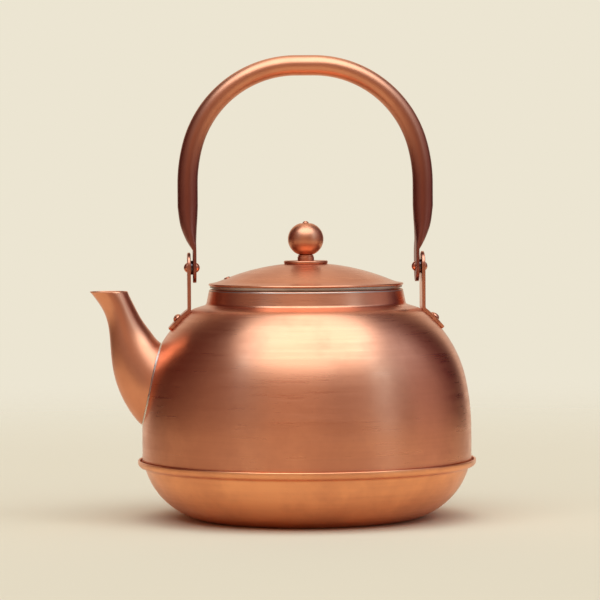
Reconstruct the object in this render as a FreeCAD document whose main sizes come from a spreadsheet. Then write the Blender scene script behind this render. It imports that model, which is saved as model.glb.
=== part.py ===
import FreeCAD, Part
import os
import re

import Sketcher

# A spun copper kettle. Millimetres, +Z up, origin at the centre of the flat base.
# The spout points to -X, and the bail swings about a line along X through the two ears.

DOC = FreeCAD.newDocument("kettle")
HALF_TURN = 180.0

# Driving sizes: name, value, what it is.
SIZES = [
    ("lip_radius", 95.0, "bowl, outside of the up-turned lip"),
    ("bowl_sheet", 1.2, "bowl, sheet thickness"),
    ("bowl_turn", 40.0, "bowl, outside radius of the turn from base to wall"),
    ("flare_start", 27.0, "bowl, height where the wall starts to flare"),
    ("flare_reach", 4.57, "bowl, how far the lip stands out from the wall below it"),
    ("flare_bend", 2.75, "bowl, outside radius of both bends of the flare"),
    ("lip_height", 33.3, "bowl, height of the lip's top edge"),
    ("gutter_width", 1.35, "gap between the lip and the shell"),
    ("gutter_gap", 0.55, "clearance under the shell's bottom edge, over the flare's ledge"),
    ("fillet_height", 3.0, "solder inside the seam, height up the shell's wall"),
    ("fillet_width", 2.2, "solder inside the seam, width"),
    ("shell_sheet", 1.0, "shell, sheet thickness"),
    ("wall_top", 49.47, "shell, height where the upright wall starts to lean in"),
    ("belly_arc", 137.07, "shell, outside radius of the long belly curve"),
    ("belly_turn", 12.0, "shell, degrees that the belly curve turns through"),
    ("crown_arc", 12.0, "shell, outside radius of the crown's edge"),
    ("crown_width", 5.0, "shell, width of the sloping flat between the crown's edge and the neck"),
    ("crown_slope", 17.0, "shell, degrees of slope of that flat"),
    ("neck_blend", 2.0, "shell, outside radius between crown and neck"),
    ("shoulder_width", 36.55, "shell, from the wall in to the foot of the neck"),
    ("shoulder_height", 71.83, "shell, from the wall's top up to the foot of the neck"),
    ("neck_height", 7.5, "neck, from its foot to its rim"),
    ("neck_taper", 1.3, "neck, how far it draws in over its height"),
    ("rim_width", 2.8, "neck, how far the rim turns inwards"),
    ("rim_bend", 1.2, "neck, outside radius of the rim's bend"),
    ("skirt_gap", 0.8, "clearance between the neck's rim and the lid's skirt"),
    ("skirt_sheet", 0.8, "lid skirt, sheet thickness"),
    ("skirt_depth", 9.0, "lid skirt, depth below the neck's rim"),
    ("seat_width", 1.6, "lid skirt, width of the narrow step that rests on the rim"),
    ("seat_height", 0.8, "lid skirt, height of that step"),
    ("flange_width", 3.0, "lid skirt, how far its flange stands out over the step"),
    ("flange_thickness", 1.2, "lid skirt, thickness of the flange"),
    ("lid_overhang", 0.75, "lid, how far the dome's edge passes the flange"),
    ("lid_sheet", 1.0, "lid dome, sheet thickness"),
    ("lid_edge", 1.2, "lid dome, height of the rounded edge"),
    ("lid_arc", 123.0, "lid dome, outside radius of the cap"),
    ("brim_width", 7.4, "lid dome, width of the brim that flattens out round the cap"),
    ("brim_arc", 27.0, "lid dome, radius of the brim's hollow curve"),
    ("vent_radius", 1.25, "lid dome, radius of the steam vent"),
    ("vent_inset", 10.4, "lid dome, from the edge in to the vent"),
    ("disc_radius", 12.35, "knob, radius of the disc"),
    ("disc_thickness", 1.3, "knob, thickness of the disc above the dome"),
    ("collar_radius", 4.65, "knob, radius of the collar"),
    ("collar_height", 3.1, "knob, height of the collar"),
    ("ball_radius", 10.0, "knob, radius of the ball"),
    ("ball_height", 17.8, "knob, height of the slightly flattened ball"),
    ("ball_seat", 3.2, "knob, radius of the small flats on top of and under the ball"),
    ("knob_bore", 1.7, "knob, radius of the rivet through it"),
    ("stub_height", 1.3, "knob, rivet's round end above the ball"),
    ("rove_radius", 4.0, "knob, radius of the burr under the lid"),
    ("rove_thickness", 1.5, "knob, thickness of the burr under the lid"),
    ("ear_stand_off", 9.8, "ears, from the neck's foot out to the middle of the strap"),
    ("strap_thickness", 1.9, "ears, strap thickness"),
    ("strap_width", 17.0, "ears, strap width"),
    ("foot_reach", 10.4, "ears, from the strap's middle out to the end of the foot"),
    ("foot_corner", 3.0, "ears, corner radius of the foot"),
    ("pivot_rise", 19.7, "from the neck's foot up to the bail's pivot"),
    ("foot_rivet_reach", 5.5, "from the strap's middle out to the foot rivets"),
    ("foot_rivet_spacing", 9.5, "between the two rivets of a foot"),
    ("foot_rivet_shank", 1.6, "foot rivets, shank radius"),
    ("foot_rivet_head", 2.6, "foot rivets, head radius"),
    ("foot_rivet_dome", 1.6, "foot rivets, head height"),
    ("foot_burr_radius", 3.4, "burrs inside the shell, radius"),
    ("foot_burr_thickness", 1.4, "burrs inside the shell, thickness"),
    ("pivot_shank", 2.2, "pivot rivets, shank radius"),
    ("pivot_head", 2.8, "pivot rivets, outer head radius"),
    ("pivot_dome", 1.9, "pivot rivets, head height"),
    ("running_gap", 0.05, "clearance wherever the bail turns on its pivots"),
    ("washer_radius", 4.0, "pivot washers, radius"),
    ("washer_thickness", 1.25, "pivot washers, thickness"),
    ("tab_thickness", 1.95, "bail, thickness of the flattened ends"),
    ("bail_rise", 113.0, "bail, from the pivot up to the tube's middle at the top"),
    ("bail_splay", 3.6, "bail, how far the legs stand outside the flattened ends"),
    ("tube_radius", 5.7, "bail, half the tube's size across the bail's plane"),
    ("tube_half_width", 6.5, "bail, half the tube's size along Y"),
    ("tube_wall", 0.95, "bail, wall of the tube"),
    ("side_arc", 85.0, "bail, middle-line radius of each side"),
    ("side_turn", 14.5, "bail, degrees that each side curve turns through"),
    ("top_flat", 4.99, "bail, half the length of the straight stretch at the top"),
    ("leg_rise", 34.0, "bail, from the pivot up to where the tube is still round"),
    ("flat_rise", 8.0, "bail, from the pivot up to where the tube is quite flat"),
    ("spout_sheet", 1.0, "spout, sheet thickness"),
    ("spout_rise", 6.8, "spout, from the neck's foot up to the level mouth"),
    ("spout_reach", 28.7, "spout, how far the mouth's tip stands out from the wall"),
    ("mouth_length", 21.0, "spout, length of the mouth"),
    ("mouth_width", 18.6, "spout, width of the mouth"),
    ("root_width", 41.0, "spout, width at the root"),
    ("solder_width", 0.8, "solder line round the spout's root"),
]

# Places that follow from the sizes: name, formula.
PLACES = [
    ("shell_radius", "lip_radius - bowl_sheet - gutter_width"),
    ("bowl_radius", "lip_radius - flare_reach"),
    ("base_radius", "bowl_radius - sqrt(bowl_turn^2 - (bowl_turn - flare_start)^2)"),
    ("wall_lean", "(bowl_radius - base_radius)/bowl_turn"),
    ("wall_rise", "(bowl_turn - flare_start)/bowl_turn"),
    # The flare is two equal bends, out and then up, so it turns until their reach adds up.
    ("ledge_cos", "(wall_lean + 1 - flare_reach/flare_bend)/2"),
    ("ledge_sin", "sqrt(1 - ledge_cos^2)"),
    ("out_bend_x", "bowl_radius + flare_bend*wall_lean"),
    ("out_bend_z", "flare_start - flare_bend*wall_rise"),
    ("up_bend_x", "lip_radius - flare_bend"),
    ("up_bend_z", "out_bend_z + 2*flare_bend*ledge_sin"),
    ("shell_foot", "up_bend_z - (flare_bend - bowl_sheet)*ledge_sin + gutter_gap"),
    # Shell: belly, shoulder and crown are three tangent arcs. Each centre follows from the last.
    ("belly_x", "shell_radius - belly_arc"),
    ("belly_end_x", "belly_x + belly_arc*cos(belly_turn)"),
    ("belly_end_z", "wall_top + belly_arc*sin(belly_turn)"),
    ("neck_foot_r", "shell_radius - shoulder_width"),
    ("neck_foot_z", "wall_top + shoulder_height"),
    ("neck_slant", "sqrt(neck_height^2 + neck_taper^2)"),
    ("neck_cos", "neck_height/neck_slant"),
    ("neck_sin", "neck_taper/neck_slant"),
    ("blend_x", "neck_foot_r + neck_blend*neck_cos"),
    ("blend_z", "neck_foot_z + neck_blend*neck_sin"),
    ("crown_x", "blend_x - (crown_arc + neck_blend)*sin(crown_slope) + crown_width*cos(crown_slope)"),
    ("crown_z", "blend_z - (crown_arc + neck_blend)*cos(crown_slope) - crown_width*sin(crown_slope)"),
    ("gap_x", "belly_end_x - crown_x"),
    ("gap_z", "belly_end_z - crown_z"),
    ("shoulder_arc", "(gap_x^2 + gap_z^2 - crown_arc^2)"
                     "/(2*(gap_x*cos(belly_turn) + gap_z*sin(belly_turn) - crown_arc))"),
    ("shoulder_x", "belly_end_x - shoulder_arc*cos(belly_turn)"),
    ("shoulder_z", "belly_end_z - shoulder_arc*sin(belly_turn)"),
    ("turn_x", "(crown_x - shoulder_x)/(shoulder_arc - crown_arc)"),
    ("turn_z", "(crown_z - shoulder_z)/(shoulder_arc - crown_arc)"),
    ("rim_r", "neck_foot_r - neck_taper"),
    ("rim_z", "neck_foot_z + neck_height"),
    ("mouth_r", "rim_r - rim_width"),
    ("spout_height", "neck_foot_z + spout_rise"),
    # Lid.
    ("skirt_r", "mouth_r - skirt_gap"),
    ("seat_r", "skirt_r + seat_width"),
    ("seat_z", "rim_z + seat_height"),
    ("flange_r", "skirt_r + flange_width"),
    ("flange_z", "seat_z + flange_thickness"),
    ("lid_r", "flange_r + lid_overhang"),
    ("edge_r", "lid_r - lid_edge/3"),
    ("rest_r", "flange_r - 2*lid_sheet"),
    ("dome_r", "lid_r - brim_width"),
    # The brim's centre lies on the line from the cap's centre through the end of the cap.
    ("brim_x", "(lid_arc + brim_arc)*dome_r/lid_arc"),
    ("brim_rise", "sqrt((lid_arc + brim_arc)^2 - brim_x^2)"),
    ("cap_z", "flange_z + 0.95*lid_edge - brim_rise + sqrt(brim_arc^2 - (brim_x - edge_r)^2)"),
    ("lid_top", "cap_z + lid_arc"),
    ("vent_r", "lid_r - vent_inset"),
    ("disc_z", "lid_top + disc_thickness"),
    ("collar_z", "disc_z + collar_height"),
    ("ball_z", "collar_z + ball_height/2"),
    # Ears and pivots, for the side at +X.
    ("pivot_z", "neck_foot_z + pivot_rise"),
    ("ear_x", "neck_foot_r + ear_stand_off"),
    ("ear_inner", "ear_x - strap_thickness/2"),
    ("ear_outer", "ear_x + strap_thickness/2"),
    ("washer_inner", "ear_inner - washer_thickness"),
    ("tab_outer", "washer_inner - running_gap"),
    ("tab_inner", "tab_outer - tab_thickness"),
    ("tab_x", "tab_outer - tab_thickness/2"),
    ("foot_rivet_x", "ear_x + foot_rivet_reach"),
    ("foot_rivet_z", "shoulder_z + sqrt(shoulder_arc^2 - (foot_rivet_x - shoulder_x)^2)"),
    ("foot_rivet_tilt", "atan((foot_rivet_x - shoulder_x)/(foot_rivet_z - shoulder_z))/1deg"),
    # Bail, middle line of the tube.
    ("leg_x", "tab_x + bail_splay"),
    ("bail_top", "pivot_z + bail_rise"),
    ("side_x", "leg_x - side_arc"),
    # The arc over the top is what is left between the side's curve and the straight stretch.
    ("corner_arc", "side_arc - (top_flat - side_x)/cos(side_turn)"),
    ("corner_x", "top_flat"),
    ("corner_z", "bail_top - corner_arc"),
    ("side_z", "corner_z - (side_arc - corner_arc)*sin(side_turn)"),
]

# Spout stations from root to mouth. The upper and lower points of each are given as
# (outwards from the shell's wall, down from the mouth); the width is a share of the root's.
SPOUT_STATIONS = [
    ((-22.5, 35.0), (-9.0, 80.0), 1.02),
    ((-11.4, 29.7), (-0.2, 75.6), 1.0),
    ((-5.6, 23.5), (8.6, 64.3), 0.85),
    ((-0.4, 16.3), (15.4, 47.2), 0.67),
    ((4.0, 8.1), (17.6, 28.6), 0.54),
    ((6.8, 2.3), (21.2, 11.0), 0.47),
]


def fill_sheet(sheet, rows, owner, as_formula):
    """Put each named row in the sheet: its name, its value or formula, its note."""
    for number, row in enumerate(rows, start=1):
        name, content = row[0], row[1]
        sheet.set("A%d" % number, name.replace("_", " "))
        sheet.set("B%d" % number, "=" + expression(content) if as_formula else "%g" % content)
        sheet.setAlias("B%d" % number, name)
        if len(row) > 2:
            sheet.set("C%d" % number, row[2])
        owner[name] = sheet.Name + "."


def expression(text):
    """Write in front of each named value the sheet that keeps it."""
    return re.sub(r"[a-z_]+", lambda word: OWNER.get(word.group(0), "") + word.group(0), text)


def value(text):
    """The number that a formula of named values gives now."""
    return float(places.evalExpression(expression(text)))


def bind(item, prop, text):
    """Tie a property of an object to a formula of named values."""
    item.setExpression(prop, expression(text))


# ---------------------------------------------------------------- sketches and bodies

def origin_plane(body, role):
    """One of a body's own origin planes."""
    return next(item for item in body.Origin.OriginFeatures if item.Role == role)


def add_sketch(body, name, role):
    sketch = body.newObject("Sketcher::SketchObject", name)
    sketch.AttachmentSupport = (origin_plane(body, role), [""])
    sketch.MapMode = "FlatFace"
    return sketch


def arc_between(start, end, radius, left):
    """The short arc of this radius from start to end, with its centre to the left or right."""
    chord = end - start
    across = FreeCAD.Vector(-chord.y, chord.x, 0).normalize()
    height = (radius**2 - (chord.Length / 2)**2)**0.5
    centre = (start + end) * 0.5 + across * (height if left else -height)
    circle = Part.Circle(centre, FreeCAD.Vector(0, 0, 1), radius)
    first, last = (start, end) if left else (end, start)
    return Part.ArcOfCircle(circle, circle.parameter(first), circle.parameter(last))


def pin_point(sketch, shape, spot, corner):
    """Tie a point of the sketch to the two formulas that place it."""
    for kind, text in zip(("DistanceX", "DistanceY"), corner):
        if text == "0":
            axis = -2 if kind == "DistanceX" else -1
            sketch.addConstraint(Sketcher.Constraint("PointOnObject", shape, spot, axis))
            continue
        index = sketch.addConstraint(Sketcher.Constraint(kind, -1, 1, shape, spot, value(text)))
        bind(sketch, "Constraints[%d]" % index, text)


def outline(sketch, corners):
    """A closed outline. A corner is (x, y), or (x, y, radius, side) where an arc follows it."""
    points = [FreeCAD.Vector(value(c[0]), value(c[1]), 0) for c in corners]
    starts = []
    for index, corner in enumerate(corners):
        start, end = points[index], points[(index + 1) % len(points)]
        if len(corner) == 2:
            starts.append((sketch.addGeometry(Part.LineSegment(start, end), False), 1, 2))
            continue
        left = corner[3] == "left"
        shape = sketch.addGeometry(arc_between(start, end, value(corner[2]), left), False)
        starts.append((shape, 1, 2) if left else (shape, 2, 1))
    for index, (shape, first, last) in enumerate(starts):
        following = starts[(index + 1) % len(starts)]
        sketch.addConstraint(
            Sketcher.Constraint("Coincident", shape, last, following[0], following[1]))
        pin_point(sketch, shape, first, corners[index])
    for corner, (shape, first, last) in zip(corners, starts):
        if len(corner) > 2:
            index = sketch.addConstraint(
                Sketcher.Constraint("Radius", shape, value(corner[2])))
            bind(sketch, "Constraints[%d]" % index, corner[2])


def circle(sketch, centre, radius):
    """A circle placed and sized by formulas."""
    middle = FreeCAD.Vector(value(centre[0]), value(centre[1]), 0)
    shape = sketch.addGeometry(
        Part.Circle(middle, FreeCAD.Vector(0, 0, 1), value(radius)), False)
    pin_point(sketch, shape, 3, centre)
    index = sketch.addConstraint(Sketcher.Constraint("Radius", shape, value(radius)))
    bind(sketch, "Constraints[%d]" % index, radius)


def turned_body(name, corners, axis="V_Axis"):
    """A body turned from an outline in the XZ plane, about Z (V_Axis) or X (H_Axis)."""
    body = DOC.addObject("PartDesign::Body", name)
    sketch = add_sketch(body, name + "_profile", "XZ_Plane")
    outline(sketch, corners)
    turn = body.newObject("PartDesign::Revolution", name + "_turn")
    turn.Profile = sketch
    turn.ReferenceAxis = (sketch, [axis])
    turn.Angle = 360
    return body


def bored(body, name, centre, radius):
    """Drill straight down through a body, along Z."""
    sketch = add_sketch(body, name, "XY_Plane")
    circle(sketch, centre, radius)
    pocket = body.newObject("PartDesign::Pocket", name + "_pocket")
    pocket.Profile = sketch
    pocket.Type = "ThroughAll"
    pocket.Reversed = True
    return pocket


def cylinder(name, radius, length):
    item = DOC.addObject("Part::Cylinder", name)
    bind(item, "Radius", radius)
    bind(item, "Height", length)
    return item


def box(name, length, width, height):
    item = DOC.addObject("Part::Box", name)
    bind(item, "Length", length)
    bind(item, "Width", width)
    bind(item, "Height", height)
    return item


def place(item, x="0", y="0", z="0"):
    """Tie an object's position to formulas."""
    for letter, text in zip("xyz", (x, y, z)):
        bind(item, "Placement.Base." + letter, text)


def turn_to(item, axis, angle):
    """Turn an object about an axis through its own origin, by a formula in degrees."""
    item.Placement.Rotation = FreeCAD.Rotation(axis, value(angle))
    bind(item, "Placement.Rotation.Angle", angle)


def cut(name, base, tool):
    item = DOC.addObject("Part::Cut", name)
    item.Base = base
    item.Tool = tool
    return item


def common(name, base, tool):
    item = DOC.addObject("Part::Common", name)
    item.Base = base
    item.Tool = tool
    return item


def fuse(name, pieces):
    item = DOC.addObject("Part::MultiFuse", name)
    item.Shapes = pieces
    return item


def keep(item, name):
    """Give a finished sub-part its name."""
    item.Label = name
    SUB_PARTS.append(item)
    return item


def mirrored_side(item):
    """Put a piece that was made for the +X side on the spout side."""
    item.Placement = FreeCAD.Placement(
        FreeCAD.Vector(), FreeCAD.Rotation(FreeCAD.Vector(0, 0, 1), HALF_TURN))


X_AXIS = FreeCAD.Vector(1, 0, 0)
Y_AXIS = FreeCAD.Vector(0, 1, 0)


# ---------------------------------------------------------------- shell and bowl

def meridian(offset):
    """The shell's outside line from its foot to the start of the neck, moved outwards by offset."""
    return [
        ("shell_radius + (%s)" % offset, "shell_foot"),
        ("shell_radius + (%s)" % offset, "wall_top", "belly_arc + (%s)" % offset, "left"),
        ("belly_x + (belly_arc + (%s))*cos(belly_turn)" % offset,
         "wall_top + (belly_arc + (%s))*sin(belly_turn)" % offset,
         "shoulder_arc + (%s)" % offset, "left"),
        ("crown_x + (crown_arc + (%s))*turn_x" % offset,
         "crown_z + (crown_arc + (%s))*turn_z" % offset, "crown_arc + (%s)" % offset, "left"),
        ("crown_x + (crown_arc + (%s))*sin(crown_slope)" % offset,
         "crown_z + (crown_arc + (%s))*cos(crown_slope)" % offset),
        ("blend_x - (neck_blend - (%s))*sin(crown_slope)" % offset,
         "blend_z - (neck_blend - (%s))*cos(crown_slope)" % offset),
    ]


def reversed_outline(corners):
    """The same open line walked the other way."""
    other_side = {"left": "right", "right": "left"}
    backwards = []
    for index in range(len(corners) - 1, -1, -1):
        corner = corners[index][:2]
        before = corners[index - 1] if index > 0 else corner
        if len(before) > 2:
            corner += (before[2], other_side[before[3]])
        backwards.append(corner)
    return backwards


def shell_envelope(name, offset):
    """The solid inside the shell's outside line, up to the foot of the neck."""
    line = meridian(offset)
    return turned_body(name, [("0", "shell_foot")] + line + [("0", line[-1][1])])


def make_shell(channel, rivet_holes):
    outside = meridian("0")
    x, z = outside[-1]
    outside[-1] = (x, z, "neck_blend", "right")
    outside += [
        ("neck_foot_r", "neck_foot_z"),
        ("rim_r + rim_bend*(1 - neck_cos)", "rim_z - rim_bend", "rim_bend", "left"),
        ("rim_r - rim_bend*neck_cos", "rim_z"),
    ]
    inside = meridian("-shell_sheet")
    x, z = inside[-1]
    inside[-1] = (x, z, "neck_blend + shell_sheet", "right")
    inside += [
        ("neck_foot_r - shell_sheet*neck_cos", "neck_foot_z - shell_sheet*neck_sin"),
        ("rim_r - shell_sheet", "rim_z - shell_sheet"),
        ("mouth_r", "rim_z - shell_sheet"),
    ]
    shell = turned_body("shell_turned", outside + [("mouth_r", "rim_z")] + reversed_outline(inside))
    holed = cut("shell_spout_hole", shell, channel)
    return keep(cut("body_shell", holed, rivet_holes), "body_shell")


def make_bowl():
    inner_out_bend = "flare_bend + bowl_sheet"
    inner_up_bend = "flare_bend - bowl_sheet"
    inner_turn = "bowl_turn - bowl_sheet"
    return keep(turned_body("base_bowl", [
        ("0", "0"),
        ("base_radius", "0", "bowl_turn", "left"),
        ("bowl_radius", "flare_start", "flare_bend", "right"),
        ("out_bend_x - flare_bend*ledge_cos", "out_bend_z + flare_bend*ledge_sin",
         "flare_bend", "left"),
        ("lip_radius", "up_bend_z"),
        ("lip_radius", "lip_height - bowl_sheet/2", "bowl_sheet/2", "left"),
        ("lip_radius - bowl_sheet/2", "lip_height", "bowl_sheet/2", "left"),
        ("lip_radius - bowl_sheet", "lip_height - bowl_sheet/2"),
        ("lip_radius - bowl_sheet", "up_bend_z", inner_up_bend, "right"),
        ("up_bend_x + (%s)*ledge_cos" % inner_up_bend, "up_bend_z - (%s)*ledge_sin" % inner_up_bend,
         inner_out_bend, "left"),
        ("base_radius + (%s)*wall_lean" % inner_turn, "bowl_turn - (%s)*wall_rise" % inner_turn,
         inner_turn, "right"),
        ("base_radius", "bowl_sheet"),
        ("0", "bowl_sheet"),
    ]), "base_bowl")


def make_seam_solder(bowl):
    """The wedge of solder between the shell's foot and the bowl, on the inside."""
    wall = "shell_radius - shell_sheet"
    ring = turned_body("seam_ring", [
        (wall, "shell_foot + fillet_height"),
        (wall + " - fillet_width", "shell_foot - 2*shell_sheet"),
        (wall, "shell_foot - shell_sheet"),
    ])
    return keep(cut("seam_solder", ring, bowl), "seam_solder")


# ---------------------------------------------------------------- spout

def spout_loft(name, grow):
    """A loft through the spout's oval stations, each grown by a formula."""
    sections = []
    for index, (upper, lower, share) in enumerate(SPOUT_STATIONS):
        upper_x = "-(shell_radius + (%g))" % upper[0]
        upper_z = "spout_height - %g" % upper[1]
        lower_x = "-(shell_radius + (%g))" % lower[0]
        lower_z = "spout_height - %g" % lower[1]
        run = "((%s) - (%s))" % (upper_x, lower_x)
        rise = "((%s) - (%s))" % (upper_z, lower_z)
        sections.append(oval("%s_%d" % (name, index),
                             ("((%s) + (%s))/2" % (upper_x, lower_x),
                              "((%s) + (%s))/2" % (upper_z, lower_z)),
                             "sqrt(%s^2 + %s^2)/2 + %s" % (run, rise, grow),
                             "root_width/2*%g + %s" % (share, grow),
                             "-atan(%s/%s)/1deg" % (rise, run)))
    tip = "-(shell_radius + spout_reach) + mouth_length/2"
    sections.append(oval("%s_mouth" % name, (tip, "spout_height"),
                         "mouth_length/2 + %s" % grow, "mouth_width/2 + %s" % grow, "0"))
    loft = DOC.addObject("Part::Loft", name)
    loft.Sections = sections
    loft.Solid = True
    return loft


def oval(name, centre, along, across, angle):
    """An oval with its first axis in the XZ plane, turned by angle, and its second along Y."""
    item = DOC.addObject("Part::Ellipse", name)
    long_way = value(along) >= value(across)
    bind(item, "MajorRadius", along if long_way else across)
    bind(item, "MinorRadius", across if long_way else along)
    spin = FreeCAD.Rotation(FreeCAD.Vector(0, 0, 1), 0 if long_way else 90)
    item.Placement = FreeCAD.Placement(
        FreeCAD.Vector(value(centre[0]), 0, value(centre[1])),
        FreeCAD.Rotation(Y_AXIS, value(angle)).multiply(spin))
    bind(item, "Placement.Base.x", centre[0])
    bind(item, "Placement.Base.z", centre[1])
    return item


def make_spout(envelope, solder_envelope, outer, inner):
    wall = cut("spout_wall", outer, inner)
    keep(cut("spout", wall, envelope), "spout")
    grown = spout_loft("spout_grown", "solder_width")
    near = common("solder_near_shell", grown, solder_envelope)
    outside = cut("solder_outside_spout", near, outer)
    keep(cut("spout_solder", outside, envelope), "spout_solder")


# ---------------------------------------------------------------- ears and their fasteners

def foot_rivet_tool(name, radius, length):
    """Two parallel pins square to the shoulder, at the places of the foot rivets."""
    pins = []
    for side in (-1, 1):
        pin = cylinder("%s_%d" % (name, side + 1), radius, length)
        turn_to(pin, Y_AXIS, "foot_rivet_tilt")
        place(pin, "foot_rivet_x - (%s)/2*sin(foot_rivet_tilt)" % length,
              "%d*foot_rivet_spacing/2" % side,
              "foot_rivet_z - (%s)/2*cos(foot_rivet_tilt)" % length)
        pins.append(pin)
    return fuse(name, pins)


def make_ear(name, envelope, strap_envelope, on_spout_side):
    """A strap: an upright leg with a round top, and a foot that hugs the shoulder."""
    leg = box(name + "_leg", "strap_thickness", "strap_width", "pivot_z - belly_end_z")
    place(leg, "ear_inner", "-strap_width/2", "belly_end_z")
    top = cylinder(name + "_top", "strap_width/2", "strap_thickness")
    turn_to(top, Y_AXIS, "90")
    place(top, "ear_inner", "0", "pivot_z")
    foot_plan = DOC.addObject("PartDesign::Body", name + "_foot_plan")
    sketch = add_sketch(foot_plan, name + "_foot_outline", "XY_Plane")
    outline(sketch, [
        ("ear_inner", "-strap_width/2"),
        ("ear_x + foot_reach - foot_corner", "-strap_width/2", "foot_corner", "left"),
        ("ear_x + foot_reach", "-strap_width/2 + foot_corner"),
        ("ear_x + foot_reach", "strap_width/2 - foot_corner", "foot_corner", "left"),
        ("ear_x + foot_reach - foot_corner", "strap_width/2"),
        ("ear_inner", "strap_width/2"),
    ])
    pad = foot_plan.newObject("PartDesign::Pad", name + "_foot_pad")
    pad.Profile = sketch
    bind(pad, "Length", "pivot_z")
    foot = common(name + "_foot", strap_envelope, foot_plan)
    strap = cut(name + "_strap", fuse(name + "_blank", [leg, top, foot]), envelope)
    bore = cylinder(name + "_bore", "pivot_shank", "4*strap_thickness")
    turn_to(bore, Y_AXIS, "90")
    place(bore, "ear_x - 2*strap_thickness", "0", "pivot_z")
    rivet_holes = foot_rivet_tool(name + "_rivet_holes", "foot_rivet_shank", "24")
    drilled = fuse(name + "_holes", [bore, rivet_holes])
    ear = keep(cut(name, strap, drilled), name)
    if on_spout_side:
        mirrored_side(ear)


def foot_rivet_pair(name, corners, on_spout_side, room=None):
    """Two equal turned pieces on the axes of the foot rivets, kept inside a room if one is given."""
    turned = turned_body(name + "_single", corners)
    pair = []
    for side in (-1, 1):
        copy = DOC.addObject("App::Link", "%s_%d" % (name, side + 1))
        copy.LinkedObject = turned
        turn_to(copy, Y_AXIS, "foot_rivet_tilt")
        place(copy, "foot_rivet_x", "%d*foot_rivet_spacing/2" % side, "foot_rivet_z")
        pair.append(copy)
    joined = fuse(name + "_pair", pair)
    item = keep(common(name, joined, room) if room else joined, name)
    if on_spout_side:
        mirrored_side(item)


def make_foot_rivets(end, inner_envelope, on_spout_side):
    """Rivets with domed heads on the foot, and the burrs that close them inside the shell."""
    dome = "(foot_rivet_head^2 + foot_rivet_dome^2)/(2*foot_rivet_dome)"
    inside = "-(shell_sheet + foot_burr_thickness)"
    foot_rivet_pair(end + "_ear_rivets", [
        ("0", inside),
        ("foot_rivet_shank", inside),
        ("foot_rivet_shank", "strap_thickness"),
        ("foot_rivet_head", "strap_thickness", dome, "left"),
        ("0", "strap_thickness + foot_rivet_dome"),
    ], on_spout_side)
    foot_rivet_pair(end + "_ear_roves", [
        ("foot_rivet_shank", "0"),
        ("foot_rivet_shank", inside),
        ("foot_burr_radius", inside),
        ("foot_burr_radius", "0"),
    ], on_spout_side, inner_envelope)


def make_pivot(end, on_spout_side):
    """The rivet that the bail turns on, and the washer between ear and bail."""
    dome = "(pivot_head^2 + pivot_dome^2)/(2*pivot_dome)"
    rivet = keep(turned_body(end + "_pivot_rivet", [
        ("tab_inner - running_gap - pivot_dome", "0", dome, "right"),
        ("tab_inner - running_gap", "pivot_head"),
        ("tab_inner - running_gap", "pivot_shank"),
        ("ear_outer", "pivot_shank"),
        ("ear_outer", "pivot_head", dome, "right"),
        ("ear_outer + pivot_dome", "0"),
    ], "H_Axis"), end + "_pivot_rivet")
    washer = keep(turned_body(end + "_pivot_washer", [
        ("washer_inner", "pivot_shank + running_gap"),
        ("washer_inner", "washer_radius"),
        ("ear_inner", "washer_radius"),
        ("ear_inner", "pivot_shank + running_gap"),
    ], "H_Axis"), end + "_pivot_washer")
    for item in (rivet, washer):
        if on_spout_side:
            mirrored_side(item)
        bind(item, "Placement.Base.z", "pivot_z")


# ---------------------------------------------------------------- lid and knob

def cap_height(radius, under="0"):
    """Height of the lid's outside, or of a surface that far under it, at a radius."""
    return "cap_z + sqrt((lid_arc - (%s))^2 - (%s)^2)" % (under, radius)


def make_lid():
    """The spun cap with its flatter brim, a rounded edge and a steam vent on the spout side."""
    under_r = "dome_r*(lid_arc - lid_sheet)/lid_arc"
    under_arc = "brim_arc + lid_sheet"
    dome = turned_body("lid_dome", [
        ("knob_bore", cap_height("knob_bore", "lid_sheet")),
        ("knob_bore", cap_height("knob_bore"), "lid_arc", "right"),
        ("dome_r", cap_height("dome_r"), "brim_arc", "left"),
        ("edge_r", "flange_z + 0.95*lid_edge", "lid_edge*0.8", "right"),
        ("lid_r", "flange_z + lid_edge/2", "lid_edge*0.8", "right"),
        ("edge_r", "flange_z"),
        ("rest_r", "flange_z"),
        ("rest_r", "cap_z + brim_rise - sqrt((%s)^2 - (brim_x - rest_r)^2)" % under_arc,
         under_arc, "right"),
        (under_r, cap_height(under_r, "lid_sheet"), "lid_arc - lid_sheet", "left"),
    ])
    bored(dome, "vent", ("-vent_r", "0"), "vent_radius")
    keep(dome, "lid_dome")


def make_skirt():
    """The tinned band: a sleeve in the neck, a step that rests on the rim and a flange."""
    keep(turned_body("lid_skirt", [
        ("skirt_r - skirt_sheet", "rim_z - skirt_depth"),
        ("skirt_r", "rim_z - skirt_depth"),
        ("skirt_r", "rim_z"),
        ("seat_r", "rim_z"),
        ("seat_r", "seat_z"),
        ("flange_r", "seat_z"),
        ("flange_r", "flange_z"),
        ("skirt_r - skirt_sheet", "flange_z"),
    ]), "lid_skirt")


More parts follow.
